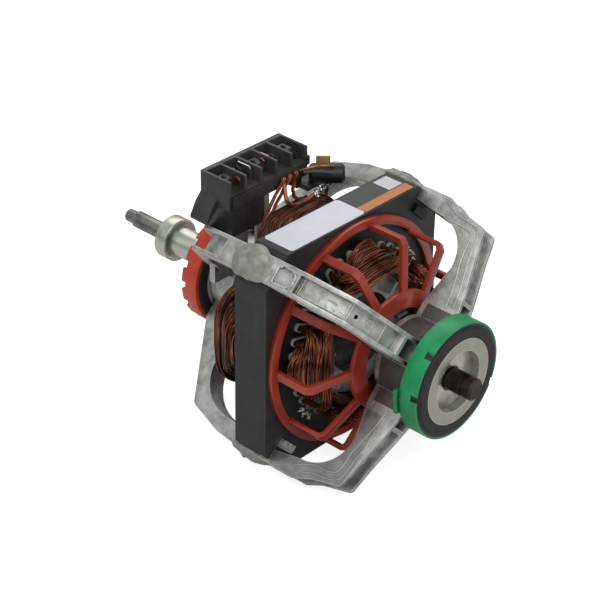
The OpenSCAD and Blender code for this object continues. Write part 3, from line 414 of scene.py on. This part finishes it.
# A rounded copy of a solid: its flat faces are joined and every sharp edge gets a small radius
rounding = {
    "front_end_shield": (0.0006, 2), "rear_end_shield": (0.0006, 2), "winding_guard": (0.0007, 3),
    "switch_housing": (0.0005, 2), "front_mount_band": (0.0006, 2), "rear_mount_band": (0.0006, 2),
    "switch_lever": (0.0004, 2), "governor_base": (0.0003, 2), "governor_weight_upper": (0.0005, 2),
    "governor_weight_lower": (0.0005, 2), "belt_pulley": (0.0005, 2),
}


def bodyOf(node):
    return next(body for body, nodes in frame["record"]["behaviour"]["bodies"].items() if node in nodes)


def roundedCopy(node, width, segments):
    mesh = frame["nodes"][node].data.copy()
    shape = bmesh.new()
    shape.from_mesh(mesh)
    bmesh.ops.remove_doubles(shape, verts=shape.verts, dist=0.00001)
    bmesh.ops.dissolve_limit(shape, angle_limit=math.radians(1), verts=shape.verts, edges=shape.edges)
    shape.to_mesh(mesh)
    shape.free()
    piece = addPiece(node + "_rounded", mesh, finishes[nodeFinish[node]])
    edge = piece.modifiers.new("edgeRadius", "BEVEL")
    edge.width, edge.segments = width, segments
    edge.limit_method, edge.angle_limit = "ANGLE", math.radians(32)
    edge.use_clamp_overlap, edge.harden_normals = True, False
    finished = bpy.data.meshes.new_from_object(piece.evaluated_get(bpy.context.evaluated_depsgraph_get()))
    piece.modifiers.clear()
    piece.data = finished
    smoothByAngle(finished, 40)
    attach(piece, bodyOf(node))
    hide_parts(node)
    return piece


for node, (width, segments) in rounding.items():
    piece = roundedCopy(node, width, segments)
    print("stage: rounded", node, len(piece.data.polygons))

# Windings. A turn is given by the angle of its slot from the pole, its radius there, and its
# angle, radius and height over the stack at the coil head, as the solid's bundles are.
windings = {
    "slotPitch": 10.0, "layerRadius": 0.0436, "layerStep": 0.005, "slotEnd": halfStack + 0.0043,
    "mainBundles": 5, "mainTurns": 24, "startBundles": 2, "startTurns": 20, "wireRadius": 0.00042,
    "bundleRadius": 0.0017, "headSpread": 1.35, "pathPoints": 12, "rearRadius": 0.062,
    "mainShape": (0.45, 3.0, 0.66, 1.1, 0.5), "startShape": (0.4, 1.2, 0.5, 1.2, 0.5),
}


def mix(a, b, w):
    return a + (b - a) * w


def mainBundle(k, stray=0.0):
    last = windings["mainBundles"] - 1
    w = min(max(k + stray, 0), last) / last
    row, layer = k // 2, 1 - k % 2
    return ((row + 1.5) * windings["slotPitch"], windings["layerRadius"] + layer * windings["layerStep"],
            mix(12, 38, w), mix(0.056, 0.043, w), mix(0.006, 0.0215, w), windings["rearRadius"])


def startBundle(k, stray=0.0):
    w = min(max(k + stray, 0), windings["startBundles"] - 1)
    return (40.0, windings["layerRadius"] + k * windings["layerStep"], 39.0, 0.0389, 0.008 + 0.005 * w,
            0.0389)


def polar(x, radius, angle):
    a = math.radians(angle)
    return Vector((x, radius * math.cos(a), radius * math.sin(a)))


def coilHead(p, q, end, shape):
    count, points, low = windings["pathPoints"], [], windings["slotEnd"]
    for j in range(1, count + 1):
        w = j / (count + 1)
        m = [mix(a, b, w) for a, b in zip(p, q)]
        s = math.sin(math.pi * w)
        turn = abs(math.cos(math.pi * w)) ** shape[4 if end < 0 else 2] * (-1 if w < 0.5 else 1)
        points.append((polar(end * (low + (m[4] + halfStack - low) * s ** shape[0]),
                             mix(m[1], m[5] if end < 0 else m[3], s ** shape[3 if end < 0 else 1]),
                             end * turn * mix(m[0], m[2], s)), s))
    return points


def coilTurn(p, q, shape, last):
    low = windings["slotEnd"]
    points = [(polar(-low, p[1], -p[0]), 0), (polar(low, p[1], -p[0]), 0)]
    points += coilHead(p, p, 1, shape)
    points += [(polar(low, p[1], p[0]), 0), (polar(-low, p[1], p[0]), 0)]
    return points + ([] if last else coilHead(p, q, -1, shape))


def windCoil(bundleOf, bundles, turns, shape, angle, seed):
    draw = random.Random(seed)
    turn = Matrix.Rotation(math.radians(angle), 3, "X")
    path = []
    for k in range(bundles):
        for t in range(turns):
            lean = draw.uniform(0, 2 * math.pi)
            reach = windings["bundleRadius"] * math.sqrt((t + 0.5) / turns)
            around = t * 2.39996 + lean * 0.05
            last = k == bundles - 1 and t == turns - 1
            stray = draw.uniform(-0.5, 0.5)
            nextBundle = bundleOf(min(k + 1, bundles - 1), stray - 0.5) if t == turns - 1 else bundleOf(k,
                    stray)
            loop = coilTurn(bundleOf(k, stray), nextBundle, shape, last)
            for i, (point, s) in enumerate(loop):
                out = Vector((0, point.y, point.z)).normalized()
                side = Vector((1, 0, 0)) if s > 0.35 else out.cross(Vector((1, 0, 0)))
                spread = mix(0.82, windings["headSpread"], s) * reach
                wobble = 1 + 0.12 * math.sin(i * 1.7 + lean)
                twist = around + 0.9 * s * math.sin(lean + i * 0.35)
                offset = (out * math.cos(twist) + side.normalized() * math.sin(twist)) * spread * wobble
                path.append(turn @ (point + offset) + stackMiddle)
    return path


def curveFromPath(name, path):
    curve = bpy.data.curves.new(name, "CURVE")
    curve.dimensions = "3D"
    line = curve.splines.new("POLY")
    line.points.add(len(path) - 1)
    for spot, point in zip(line.points, path):
        spot.co = (*point, 1)
    return curve


def makeWireTree():
    tree = bpy.data.node_groups.new("wireAlongPath", "GeometryNodeTree")
    face = tree.interface
    face.new_socket("Geometry", in_out="INPUT", socket_type="NodeSocketGeometry")
    for label, value in (("Wire radius", 0.0004), ("Smooth step", 0.003)):
        face.new_socket(label, in_out="INPUT", socket_type="NodeSocketFloat").default_value = value
    face.new_socket("Sides", in_out="INPUT", socket_type="NodeSocketInt").default_value = 5
    face.new_socket("Finish", in_out="INPUT", socket_type="NodeSocketMaterial")
    face.new_socket("Geometry", in_out="OUTPUT", socket_type="NodeSocketGeometry")
    given = addNode(tree, "NodeGroupInput").outputs
    kind = addNode(tree, "GeometryNodeCurveSplineType", {"spline_type": "CATMULL_ROM"},
                   {"Curve": given["Geometry"]})
    steps = addNode(tree, "GeometryNodeSetSplineResolution", {"Resolution": 2}, {"Geometry": kind.outputs[0]})
    ring = addNode(tree, "GeometryNodeCurvePrimitiveCircle", None,
                   {"Resolution": given["Sides"], "Radius": given["Wire radius"]})
    wire = addNode(tree, "GeometryNodeCurveToMesh", {"Fill Caps": True},
                   {"Curve": steps.outputs[0], "Profile Curve": ring.outputs["Curve"]})
    smooth = addNode(tree, "GeometryNodeSetShadeSmooth", None, {"Geometry": wire.outputs[0]})
    real = addNode(tree, "GeometryNodeRealizeInstances", None, {"Geometry": smooth.outputs[0]})
    colour = addNode(tree, "GeometryNodeSetMaterial", None,
                     {"Geometry": real.outputs[0], "Material": given["Finish"]})
    addNode(tree, "NodeGroupOutput", None, {"Geometry": colour.outputs[0]})
    return tree


wireTree = makeWireTree()


def smoothPath(points, steps):
    ends = [points[0] * 2 - points[1]] + points + [points[-1] * 2 - points[-2]]
    path = []
    for a, b, c, d in zip(ends, ends[1:], ends[2:], ends[3:]):
        for k in range(steps):
            t = k / steps
            path.append(0.5 * (2 * b + (c - a) * t + (2 * a - 5 * b + 4 * c - d) * t ** 2
                               + (3 * b - a - 3 * c + d) * t ** 3))
    return path + [points[-1]]


def growPiece(name, source, tree, **values):
    holder = bpy.data.objects.new(name + "Path", source)
    bpy.context.scene.collection.objects.link(holder)
    grown = holder.modifiers.new("grow", "NODES")
    grown.node_group = tree
    sockets = {s.name: s.identifier for s in tree.interface.items_tree if s.in_out == "INPUT"}
    for label, value in values.items():
        grown[sockets[label.replace("_", " ")]] = value
    bpy.context.view_layer.update()
    mesh = bpy.data.meshes.new_from_object(holder.evaluated_get(bpy.context.evaluated_depsgraph_get()))
    bpy.data.objects.remove(holder)
    return addPiece(name, mesh)


coils = [("main_coil_" + side, mainBundle, angle) for side,
         angle in (("right", 0), ("top", 90), ("left", 180), ("bottom", 270))]
coils += [("start_coil_" + side, startBundle, angle) for side,
          angle in (("top_right", 45), ("top_left", 135), ("bottom_left", 225), ("bottom_right", 315))]
for index, (node, bundleOf, angle) in enumerate(coils):
    main = bundleOf is mainBundle
    path = windCoil(bundleOf, windings["mainBundles" if main else "startBundles"],
                    windings["mainTurns" if main else "startTurns"],
                    windings["mainShape" if main else "startShape"], angle, 11 + index)
    piece = growPiece(node + "_wound", curveFromPath(node, path), wireTree,
                      Wire_radius=windings["wireRadius"], Sides=5,
                      Finish=finishes["copperWire" if main else "startCopperWire"])
    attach(piece, bodyOf(node))
    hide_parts(node)
    print("stage: wound", node, len(piece.data.polygons))

# Paper labels with rounded corners, bare of any print
labels = {
    "data_label": {"x": (-0.092, -0.071), "y": (-0.0485, 0.0095), "corner": 0.0022},
    "wiring_label": {"x": (-0.092, -0.071), "y": (0.0098, 0.0498), "corner": 0.0014},
}
labelSeat = (0.069, 0.0692)  # underside and top of the paper


def useIn(node, piece):
    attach(piece, bodyOf(node))
    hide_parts(node)


def meshOf(name, shape):
    mesh = bpy.data.meshes.new(name)
    shape.normal_update()
    shape.to_mesh(mesh)
    shape.free()
    return mesh


for node, values in labels.items():
    shape = bmesh.new()
    corner, edge = values["corner"], []
    for (sx, sy), start in zip(((1, 1), (-1, 1), (-1, -1), (1, -1)), (0, 90, 180, 270)):
        x = values["x"][1] - corner if sx > 0 else values["x"][0] + corner
        y = values["y"][1] - corner if sy > 0 else values["y"][0] + corner
        for step in range(7):
            a = math.radians(start + step * 15)
            edge.append(shape.verts.new((x + corner * math.cos(a), y + corner * math.sin(a), labelSeat[0])))
    sheet = shape.faces.new(edge)
    raised = bmesh.ops.extrude_face_region(shape, geom=[sheet])["geom"]
    bmesh.ops.translate(shape, vec=(0, 0, labelSeat[1] - labelSeat[0]),
                        verts=[v for v in raised if isinstance(v, bmesh.types.BMVert)])
    bmesh.ops.recalc_face_normals(shape, faces=shape.faces)
    useIn(node, addPiece(node + "_paper", meshOf(node, shape), finishes[nodeFinish[node]]))

# Bonding compound squeezed over each joint of two arms on a stack corner: an uneven lump
bond = {"x": -0.0865, "fromAxis": 0.0872, "along": 0.0138, "across": 0.0102, "height": 0.0041,
        "lumps": 0.0017, "reach": 0.09745}


def bondLump(angle, seed):
    shape = bmesh.new()
    bmesh.ops.create_icosphere(shape, subdivisions=4, radius=1)
    a, b = math.radians(angle), bond
    for vert in shape.verts:
        way = vert.co.copy()
        wave = noiseField.fractal(way * 2.2 + Vector((seed, 0, 0)), 0.6, 2.1, 4)
        outline = 1 + 0.22 * noiseField.noise(Vector((way.x, way.z, seed * 3.1)) * 1.7)
        along, across = way.x * b["along"] * outline, way.z * b["across"] * outline
        out = b["fromAxis"] + way.y * b["height"] + b["lumps"] * wave * max(way.y, 0) ** 0.5
        out = min(out, b["reach"] - abs(across))
        y, z = out * math.cos(a) - across * math.sin(a), out * math.sin(a) + across * math.cos(a)
        vert.co = (b["x"] + along, y, z)
    return shape


lumps = bmesh.new()
for index, angle in enumerate((45, 135, 225, 315)):
    one = meshOf("lump", bondLump(angle, 3.7 + index * 2.3))
    lumps.from_mesh(one)
bmesh.ops.recalc_face_normals(lumps, faces=lumps.faces)
piece = addPiece("corner_bonds_lumps", meshOf("corner_bonds_lumps", lumps), finishes["bondCompound"])
smoothByAngle(piece.data, 180)
useIn("corner_bonds", piece)

# Governor return springs: a close helix between two hooked ends on the pegs of the weights
spring = {"x": -0.1185, "y": 0.0116, "top": 0.0203, "radius": 0.00125, "wire": 0.00034, "turns": 26,
          "perTurn": 10, "hook": 0.0035}
for side in (-1, 1):
    path, s = [], spring
    steps = s["turns"] * s["perTurn"]
    for i in range(steps + 1):
        a = 2 * math.pi * i / s["perTurn"]
        z = mix(s["hook"] - s["top"], s["top"] - s["hook"], i / steps)
        path.append(Vector((s["x"] + s["radius"] * math.cos(a), side * s["y"] + s["radius"] * math.sin(a),
                            z)))
    for end, place in ((-1, 0), (1, len(path))):
        hook = [Vector((s["x"] + s["radius"] * math.cos(t), side * s["y"],
                        end * (s["top"] - s["hook"] * 0.4 + 0.001 * math.sin(t))))
                        for t in (0.0, 1.2, 2.4, 3.6)]
        path = hook[::-1] + path if end < 0 else path + hook
    piece = growPiece("governor_spring_" + ("left" if side < 0 else "right"), curveFromPath("spring", path),
                      wireTree,
                      Wire_radius=spring["wire"], Sides=6, Finish=finishes["brightSteel"])
    useIn("governor_springs", piece)
print("stage: labels, bonds and springs made")

# Spade blades: two stand tall in their bays, the others sit low under their receptacles
spades = {"floor": 0.081, "low": 0.0845, "tall": 0.0893, "thickness": 0.0008, "chamfer": 0.0012,
          "blades": [(-0.0393, -0.135, -0.1255, False), (-0.0238, -0.1362, -0.1254, True),
                     (-0.0155, -0.135, -0.1255, False),
                     (-0.0079, -0.1346, -0.126, True), (0.0083, -0.135, -0.1255, False)]}
shape = bmesh.new()
for y, x0, x1, tall in spades["blades"]:
    top, c, half = spades["tall" if tall else "low"], spades["chamfer"], spades["thickness"] / 2
    outline = [(x0, spades["floor"]), (x1, spades["floor"]), (x1, top - c), (x1 - c, top), (x0 + c, top),
               (x0, top - c)]
    sheet = shape.faces.new([shape.verts.new((x, y - half, z)) for x, z in outline])
    raised = bmesh.ops.extrude_face_region(shape, geom=[sheet])["geom"]
    bmesh.ops.translate(shape, vec=(0, 2 * half, 0),
                        verts=[v for v in raised if isinstance(v, bmesh.types.BMVert)])
bmesh.ops.recalc_face_normals(shape, faces=shape.faces)
useIn("spade_terminals", addPiece("spade_terminals_cut", meshOf("spade_terminals_cut", shape),
                                  finishes["brightSteel"]))

# Enamelled leads: thin strands laid loosely along each of the solid's four routes
leads = {"wire": 0.00052, "spread": 0.00062, "twist": 0.55, "steps": 6, "strands": 3}
leadRoutes = [
    [(-0.119, -0.006, 0.0776), (-0.1175, -0.006, 0.0776), (-0.118, -0.011, 0.071), (-0.1178, -0.017, 0.064),
     (-0.1176, -0.021, 0.058), (-0.1164, -0.024, 0.053), (-0.1156, -0.0246, 0.0506)],
    [(-0.119, -0.001, 0.0776), (-0.1175, -0.001, 0.0776), (-0.1178, -0.006, 0.071), (-0.1178, -0.011, 0.065),
     (-0.1177, -0.015, 0.06), (-0.1172, -0.017, 0.057), (-0.1166, -0.018, 0.0552)],
    [(-0.119, 0.004, 0.0776), (-0.1175, 0.004, 0.0776), (-0.118, 0.0024, 0.071), (-0.118, 0.0022, 0.066),
     (-0.118, 0.0046, 0.0616), (-0.1179, 0.011, 0.0586), (-0.1166, 0.018, 0.0552)],
    [(-0.1133, 0.0245, 0.066), (-0.1133, 0.0245, 0.0645), (-0.1135, 0.025, 0.06), (-0.1145, 0.025, 0.055),
     (-0.1153, 0.0246, 0.0512)],
]
for index, route in enumerate(leadRoutes):
    middle = smoothPath([Vector(point) for point in route], leads["steps"])
    for strand in range(leads["strands"]):
        path = []
        for k, point in enumerate(middle):
            along = (middle[min(k + 1, len(middle) - 1)] - middle[max(k - 1, 0)]).normalized()
            side = along.cross(Vector((0, 0.97, 0.24))).normalized()
            turned = 2 * math.pi * strand / leads["strands"] + leads["twist"] * k * (0.35 + 0.1 * index)
            offset = side * math.cos(turned) + along.cross(side) * math.sin(turned)
            path.append(point + offset * leads["spread"])
        piece = growPiece("lead_%d_strand_%d" % (index + 1, strand + 1), curveFromPath("strand", path),
                          wireTree,
                          Wire_radius=leads["wire"], Sides=7, Finish=finishes["leadWire"])
        useIn("lead_wires", piece)
print("stage: leads made")

# Cast detail sunk in each front arm: thin ridges on the panel floor, by distance along and across it
panel = {
    "floor": [(0.015, 0.0849), (0.02, 0.0849), (0.029, 0.0805), (0.0439, 0.0771), (0.0456, 0.0741),
              (0.0489, 0.0621),
              (0.0535, 0.0451), (0.0539, 0.04)],
    "ridge": 0.00038, "frame": (0.0018, 0.0298, 0.0044), "knee": 0.0316, "dash": (0.0173, 0.0235),
    "ring": (0.047, -0.0009, 0.0022),
    "step": 0.0572, "wall": 0.0053, "faceX": -0.07,
}


def onPanel(along, across, angle):
    floor, gone = panel["floor"], 0.0
    for (u, rho), (nextU, nextRho) in zip(floor, floor[1:]):
        length = math.hypot(nextU - u, nextRho - rho)
        if along <= gone + length or (nextU, nextRho) == floor[-1]:
            w = (along - gone) / length
            break
        gone += length
    a, out = math.radians(angle), mix(rho, nextRho, w)
    return Vector((panel["faceX"] + mix(u, nextU, w), out * math.cos(a) - across * math.sin(a),
                   out * math.sin(a) + across * math.cos(a)))


def panelLines():
    s0, s1, half = panel["frame"]
    wall, (ringAt, ringAcross, ringSize) = panel["wall"], panel["ring"]
    frameLine = [(mix(s0, s1, k / 12), -half) for k in range(13)] + [(s1, mix(-half, half, k / 4))
            for k in range(1, 4)]
    frameLine += [(mix(s1, s0, k / 12), half) for k in range(13)] + [(s0, mix(half, -half, k / 4))
            for k in range(1, 5)]
    circle = [(ringAt + ringSize * math.cos(a), ringAcross + ringSize * math.sin(a))
              for a in [math.pi * k / 12 for k in range(25)]]
    straight = [[(panel["knee"], -wall), (panel["knee"], wall)],
                [(panel["dash"][0], -0.0008), (panel["dash"][1], -0.0004)],
                [(panel["step"], -wall), (panel["step"], wall)]]
    return [frameLine, circle] + straight


for index, angle in enumerate((45, 135, 225, 315)):
    for line, points in enumerate(panelLines()):
        piece = growPiece("front_arm_%d_ridge_%d" % (index + 1, line + 1),
                          curveFromPath("ridge", [onPanel(s, t, angle) for s, t in points]), wireTree,
                          Wire_radius=panel["ridge"], Sides=8, Finish=finishes["castAluminium"])
        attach(piece, bodyOf("front_end_shield"))
# A raised, uneven bead of flash round the pocket in the foot of each front arm
flash = {"u": (0.0, 0.0128), "half": 0.0058, "top": 0.0880, "radius": 0.0008, "corners": 28, "wobble": 0.0005}
for index, angle in enumerate((45, 135, 225, 315)):
    draw, path, a, f = random.Random(60 + index), [], math.radians(angle), flash
    middle = (f["u"][0] + f["u"][1]) / 2
    for k in range(f["corners"] + 1):
        t = 2 * math.pi * (k % f["corners"]) / f["corners"]
        reach = Vector((abs(math.cos(t)) ** 0.6 * math.copysign(1, math.cos(t)),
                        abs(math.sin(t)) ** 0.6 * math.copysign(1, math.sin(t))))
        u = middle + reach.x * (f["u"][1] - middle) + draw.uniform(-1, 1) * f["wobble"]
        across = reach.y * f["half"] * (1.0 - 0.25 * (u / f["u"][1])) + draw.uniform(-1, 1) * f["wobble"]
        path.append(Vector((panel["faceX"] + u, f["top"] * math.cos(a) - across * math.sin(a),
                            f["top"] * math.sin(a) + across * math.cos(a))))
    path[-1] = path[0].copy()
    piece = growPiece("front_arm_%d_flash" % (index + 1), curveFromPath("flash", smoothPath(path, 3)),
                      wireTree,
                      Wire_radius=f["radius"], Sides=8, Finish=finishes["castAluminium"])
    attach(piece, bodyOf("front_end_shield"))

# Flow ridges along both sides of each front arm, following the outline of its bend
sideRidges = {"half": 0.0075, "radius": 0.00042, "insets": (0.0034, 0.0078),
              "outline": [(0.02, 0.0883), (0.03, 0.0839), (0.0475, 0.0795), (0.0523, 0.0621),
                          (0.0569, 0.0451), (0.0588, 0.034)]}


def insetLine(outline, inset):
    points = [Vector(point) for point in outline]
    line = []
    for k, point in enumerate(points):
        way = (points[min(k + 1, len(points) - 1)] - points[max(k - 1, 0)]).normalized()
        line.append(point + Vector((way.y, -way.x)) * -inset)
    return line


for index, angle in enumerate((45, 135, 225, 315)):
    a = math.radians(angle)
    for side in (-1, 1):
        for line, inset in enumerate(sideRidges["insets"]):
            across = side * sideRidges["half"]
            path = [Vector((panel["faceX"] + p.x, p.y * math.cos(a) - across * math.sin(a),
                            p.y * math.sin(a) + across * math.cos(a)))
                    for p in insetLine(sideRidges["outline"], -inset)]
            piece = growPiece("front_arm_%d_side_%d_%d" % (index + 1, (side + 3) // 2, line + 1),
                              curveFromPath("ridge", smoothPath(path, 4)), wireTree,
                              Wire_radius=sideRidges["radius"], Sides=8, Finish=finishes["castAluminium"])
            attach(piece, bodyOf("front_end_shield"))
print("stage: cast detail made")

# Ends of the harness that lie in the switch bays
harness = {"wire": 0.00075, "perBay": 2, "bays": [(-0.0444 + 0.01188 * k) for k in range(5)],
           "bayWidth": 0.0103,
           "floor": 0.0845, "top": 0.0893, "back": -0.1335, "front": -0.1215}
draw = random.Random(23)
for bay, start in enumerate(harness["bays"]):
    for wire in range(harness["perBay"]):
        h, y = harness, start + harness["bayWidth"] * draw.uniform(0.12, 0.88)
        x = draw.uniform(h["back"], h["front"] - 0.002)
        height = draw.uniform(0.55, 1.0)
        lean, reach = draw.uniform(-0.0015, 0.0015), draw.uniform(0.002, 0.005)
        y2 = min(max(y + lean, start + 0.001), start + h["bayWidth"] - 0.001)
        path = [Vector((x, y, h["floor"])), Vector((x + 0.0004, y, mix(h["floor"], h["top"], height * 0.6))),
                Vector((x + reach * 0.4, y2, mix(h["floor"], h["top"], height))),
                Vector((min(x + reach, -0.1196), y2, mix(h["floor"], h["top"], height * 0.75)))]
        piece = growPiece("harness_%d_%d" % (bay + 1, wire + 1),
                          curveFromPath("harness", smoothPath(path, 4)), wireTree,
                          Wire_radius=h["wire"] * draw.uniform(0.7, 1.3), Sides=8,
                          Finish=finishes["startCopperWire" if wire == 0 else "protectorSleeve"])
        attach(piece, bodyOf("switch_housing"))

# Black receptacle bodies round the blades, at the back of the open bays, and a raised panel below them
housing = {
    "bodies": [(-0.0437, -0.0349, -0.1345, -0.1272, 0.0868), (-0.0316, -0.0252, -0.1345, -0.1276, 0.0852),
               (-0.0196, -0.0112, -0.1345, -0.1268, 0.0874), (-0.0062, 0.0009, -0.1345, -0.1274, 0.0858),
               (0.0039, 0.0106, -0.1345, -0.1266, 0.0880), (0.0109, 0.0131, -0.1332, -0.1242, 0.0846)],
    "floor": 0.0811, "panel": (-0.0442, -0.0205, -0.1192, -0.1178, 0.0735, 0.0806),
    "step": (0.0138, 0.0176, -0.1330, -0.1195, 0.0775, 0.0832), "round": 0.0005,
}
shape = bmesh.new()
blocks = [(y0, y1, x0, x1, housing["floor"], top) for y0, y1, x0, x1, top in housing["bodies"]]
for y0, y1, x0, x1, z0, z1 in blocks + [housing["panel"], housing["step"]]:
    middle, size = Vector((x0 + x1, y0 + y1, z0 + z1)) / 2, (x1 - x0, y1 - y0, z1 - z0)
    bmesh.ops.create_cube(shape, size=1, matrix=Matrix.Translation(middle) @ Matrix.Diagonal((*size, 1)))
bmesh.ops.bevel(shape, geom=shape.edges[:], offset=housing["round"], segments=2, affect="EDGES",
                clamp_overlap=True)
piece = addPiece("switch_receptacles", meshOf("switch_receptacles", shape), finishes["switchPlastic"])
smoothByAngle(piece.data, 40)
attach(piece, bodyOf("switch_housing"))

# Loose lengths beside the protector: the lead that lies over it, its sleeve, and the crimped loop
loose = {
    "lead_over_protector": (0.0008, "leadWire", [(-0.1192, 0.0085, 0.0770), (-0.1170, 0.0105, 0.0782),
            (-0.1145, 0.0134, 0.0790),
                                                 (-0.1116, 0.0172, 0.0794), (-0.1084, 0.0212, 0.0792),
                                                 (-0.1072, 0.0240, 0.0786)]),
    "lead_sleeve": (0.0012, "tealSleeve", [(-0.1176, 0.0098, 0.0762), (-0.1140, 0.0134, 0.0766),
                                           (-0.1100, 0.0174, 0.0764),
                                           (-0.1066, 0.0214, 0.0756)]),
    "lead_loop": (0.0012, "leadWire", [(-0.1192, -0.0050, 0.0764), (-0.1160, -0.0070, 0.0740),
                                       (-0.1122, -0.0093, 0.0684),
                                       (-0.1120, -0.0062, 0.0645), (-0.1120, -0.0010, 0.0624),
                                       (-0.1120, 0.0071, 0.0621),
                                       (-0.1120, 0.0122, 0.0633)]),
}
for name, (radius, look, points) in loose.items():
    piece = growPiece(name, curveFromPath(name, smoothPath([Vector(point) for point in points], 6)), wireTree,
                      Wire_radius=radius, Sides=10, Finish=finishes[look])
    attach(piece, bodyOf("lead_wires"))

# Bright solder and crimp crumbs on the loop's end, each an uneven pebble
crumbs = {"from": (-0.1120, 0.0115, 0.0630), "to": (-0.1118, 0.0225, 0.0648), "count": 11,
          "size": (0.0008, 0.0017), "stray": 0.0011}
draw, shape = random.Random(31), bmesh.new()
for k in range(crumbs["count"]):
    spot = Vector(crumbs["from"]).lerp(Vector(crumbs["to"]), k / (crumbs["count"] - 1))
    spot += Vector([draw.uniform(-1, 1) * crumbs["stray"] for _ in range(3)])
    size, seed = draw.uniform(*crumbs["size"]), draw.uniform(0, 50)
    pebble = bmesh.ops.create_icosphere(shape, subdivisions=3, radius=1)["verts"]
    for vert in pebble:
        vert.co = spot + vert.co * size * (1 + 0.55 * noiseField.noise(vert.co * 1.9 + Vector((seed, 0, 0))))
piece = addPiece("crimp_crumbs", meshOf("crimp_crumbs", shape), finishes["brightSteel"])
smoothByAngle(piece.data, 50)
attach(piece, bodyOf("lead_wires"))
print("stage: harness, receptacles, loose leads and crumbs made")

# Hardened varnish: glossy near-white beads round the slot mouths at two corners of the front coils, standing
# in for glints as painted highlights
varnishGlint = {"radius": (0.0004, 0.0009), "count": 24, "x": (-0.0695, -0.0655), "fromShaft": (0.053, 0.0565),
           "angles": ((214, 229), (28, 46))}
shape = bmesh.new()
for low, high in varnishGlint["angles"]:
    for k in range(varnishGlint["count"]):
        a, r = math.radians(draw.uniform(low, high)), draw.uniform(*varnishGlint["fromShaft"])
        spot = Vector((draw.uniform(*varnishGlint["x"]), r * math.cos(a), r * math.sin(a)))
        size = draw.uniform(*varnishGlint["radius"])
        bmesh.ops.create_icosphere(shape, subdivisions=2, radius=size, matrix=Matrix.Translation(spot))
piece = addPiece("varnish_glint_beads", meshOf("varnish_glint_beads", shape), finishes["varnishGlint"])
smoothByAngle(piece.data, 180)
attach(piece, bodyOf("slot_liners"))

# The motor stands on the lower edge of its stack, on a pale floor under soft lamps
studio = {"floorHeight": -0.0692, "key": 5.0, "fill": 1.5, "rim": 2.2, "sky": 0.36,
          "floorGlow": 0.8}


def buildStudio():
    floorMesh = bpy.data.meshes.new("studioFloor")
    reach, height = 6.0, studio["floorHeight"]
    floorMesh.from_pydata([(-reach, -reach, height), (reach, -reach, height), (reach, reach, height),
                           (-reach, reach, height)], [], [(0, 1, 2, 3)])
    finish = bpy.data.materials.new("studioPaper")
    finish.use_nodes = True
    paper = finish.node_tree.nodes["Principled BSDF"]
    paper.inputs["Base Color"].default_value = hexColour("#f4f4f4")
    paper.inputs["Roughness"].default_value = 0.9
    paper.inputs["Emission Color"].default_value = (1, 1, 1, 1)
    looked = addNode(finish.node_tree, "ShaderNodeLightPath").outputs["Is Camera Ray"]
    glow = addNode(finish.node_tree, "ShaderNodeMath", {"operation": "MULTIPLY", 1: studio["floorGlow"]},
                   {0: looked})
    paint(finish.node_tree, paper, "Emission Strength", glow.outputs[0])
    floor = addPiece("studioFloor", floorMesh, finish)
    world = bpy.data.worlds.new("studioSky")
    bpy.context.scene.world = world
    world.use_nodes = True
    tree = world.node_tree
    tree.nodes.clear()
    rays = addNode(tree, "ShaderNodeLightPath")
    direction = addNode(tree, "ShaderNodeTexCoord").outputs["Generated"]
    height = addNode(tree, "ShaderNodeSeparateXYZ", None, {0: direction}).outputs["Z"]
    room = ramp(tree, height, [(0.0, 0.16), (0.2, 0.42), (0.5, 0.85), (0.9, 0.35)])
    lit = addNode(tree, "ShaderNodeBackground", {"Color": (1, 1, 1, 1), "Strength": studio["sky"]})
    mirrored = addNode(tree, "ShaderNodeBackground", {"Strength": 1.0}, {"Color": room})
    white = addNode(tree, "ShaderNodeBackground", {"Color": (1, 1, 1, 1), "Strength": 1.0})
    aroundObject = addNode(tree, "ShaderNodeMixShader", None,
                           {0: rays.outputs["Is Glossy Ray"], 1: lit.outputs[0], 2: mirrored.outputs[0]})
    seen = addNode(tree, "ShaderNodeMixShader", None,
                   {0: rays.outputs["Is Camera Ray"], 1: aroundObject.outputs[0], 2: white.outputs[0]})
    addNode(tree, "ShaderNodeOutputWorld", None, {"Surface": seen.outputs[0]})
    for name, spot, size, power in (("keyLamp", (0.3, -0.5, 1.1), 0.9, studio["key"]),
                                    ("fillLamp", (0.9, 0.1, 0.5), 1.0, studio["fill"]),
                                    ("rimLamp", (-0.7, 0.5, 0.9), 0.8, studio["rim"])):
        lamp = bpy.data.lights.new(name, "AREA")
        lamp.energy, lamp.size = power, size
        holder = bpy.data.objects.new(name, lamp)
        bpy.context.scene.collection.objects.link(holder)
        holder.matrix_world = Matrix.Translation(spot) @ (Vector(spot) - stackMiddle).to_track_quat("Z",
                "Y").to_matrix().to_4x4()


buildStudio()
bpy.context.scene.view_settings.view_transform = "Standard"
print("stage: studio built")
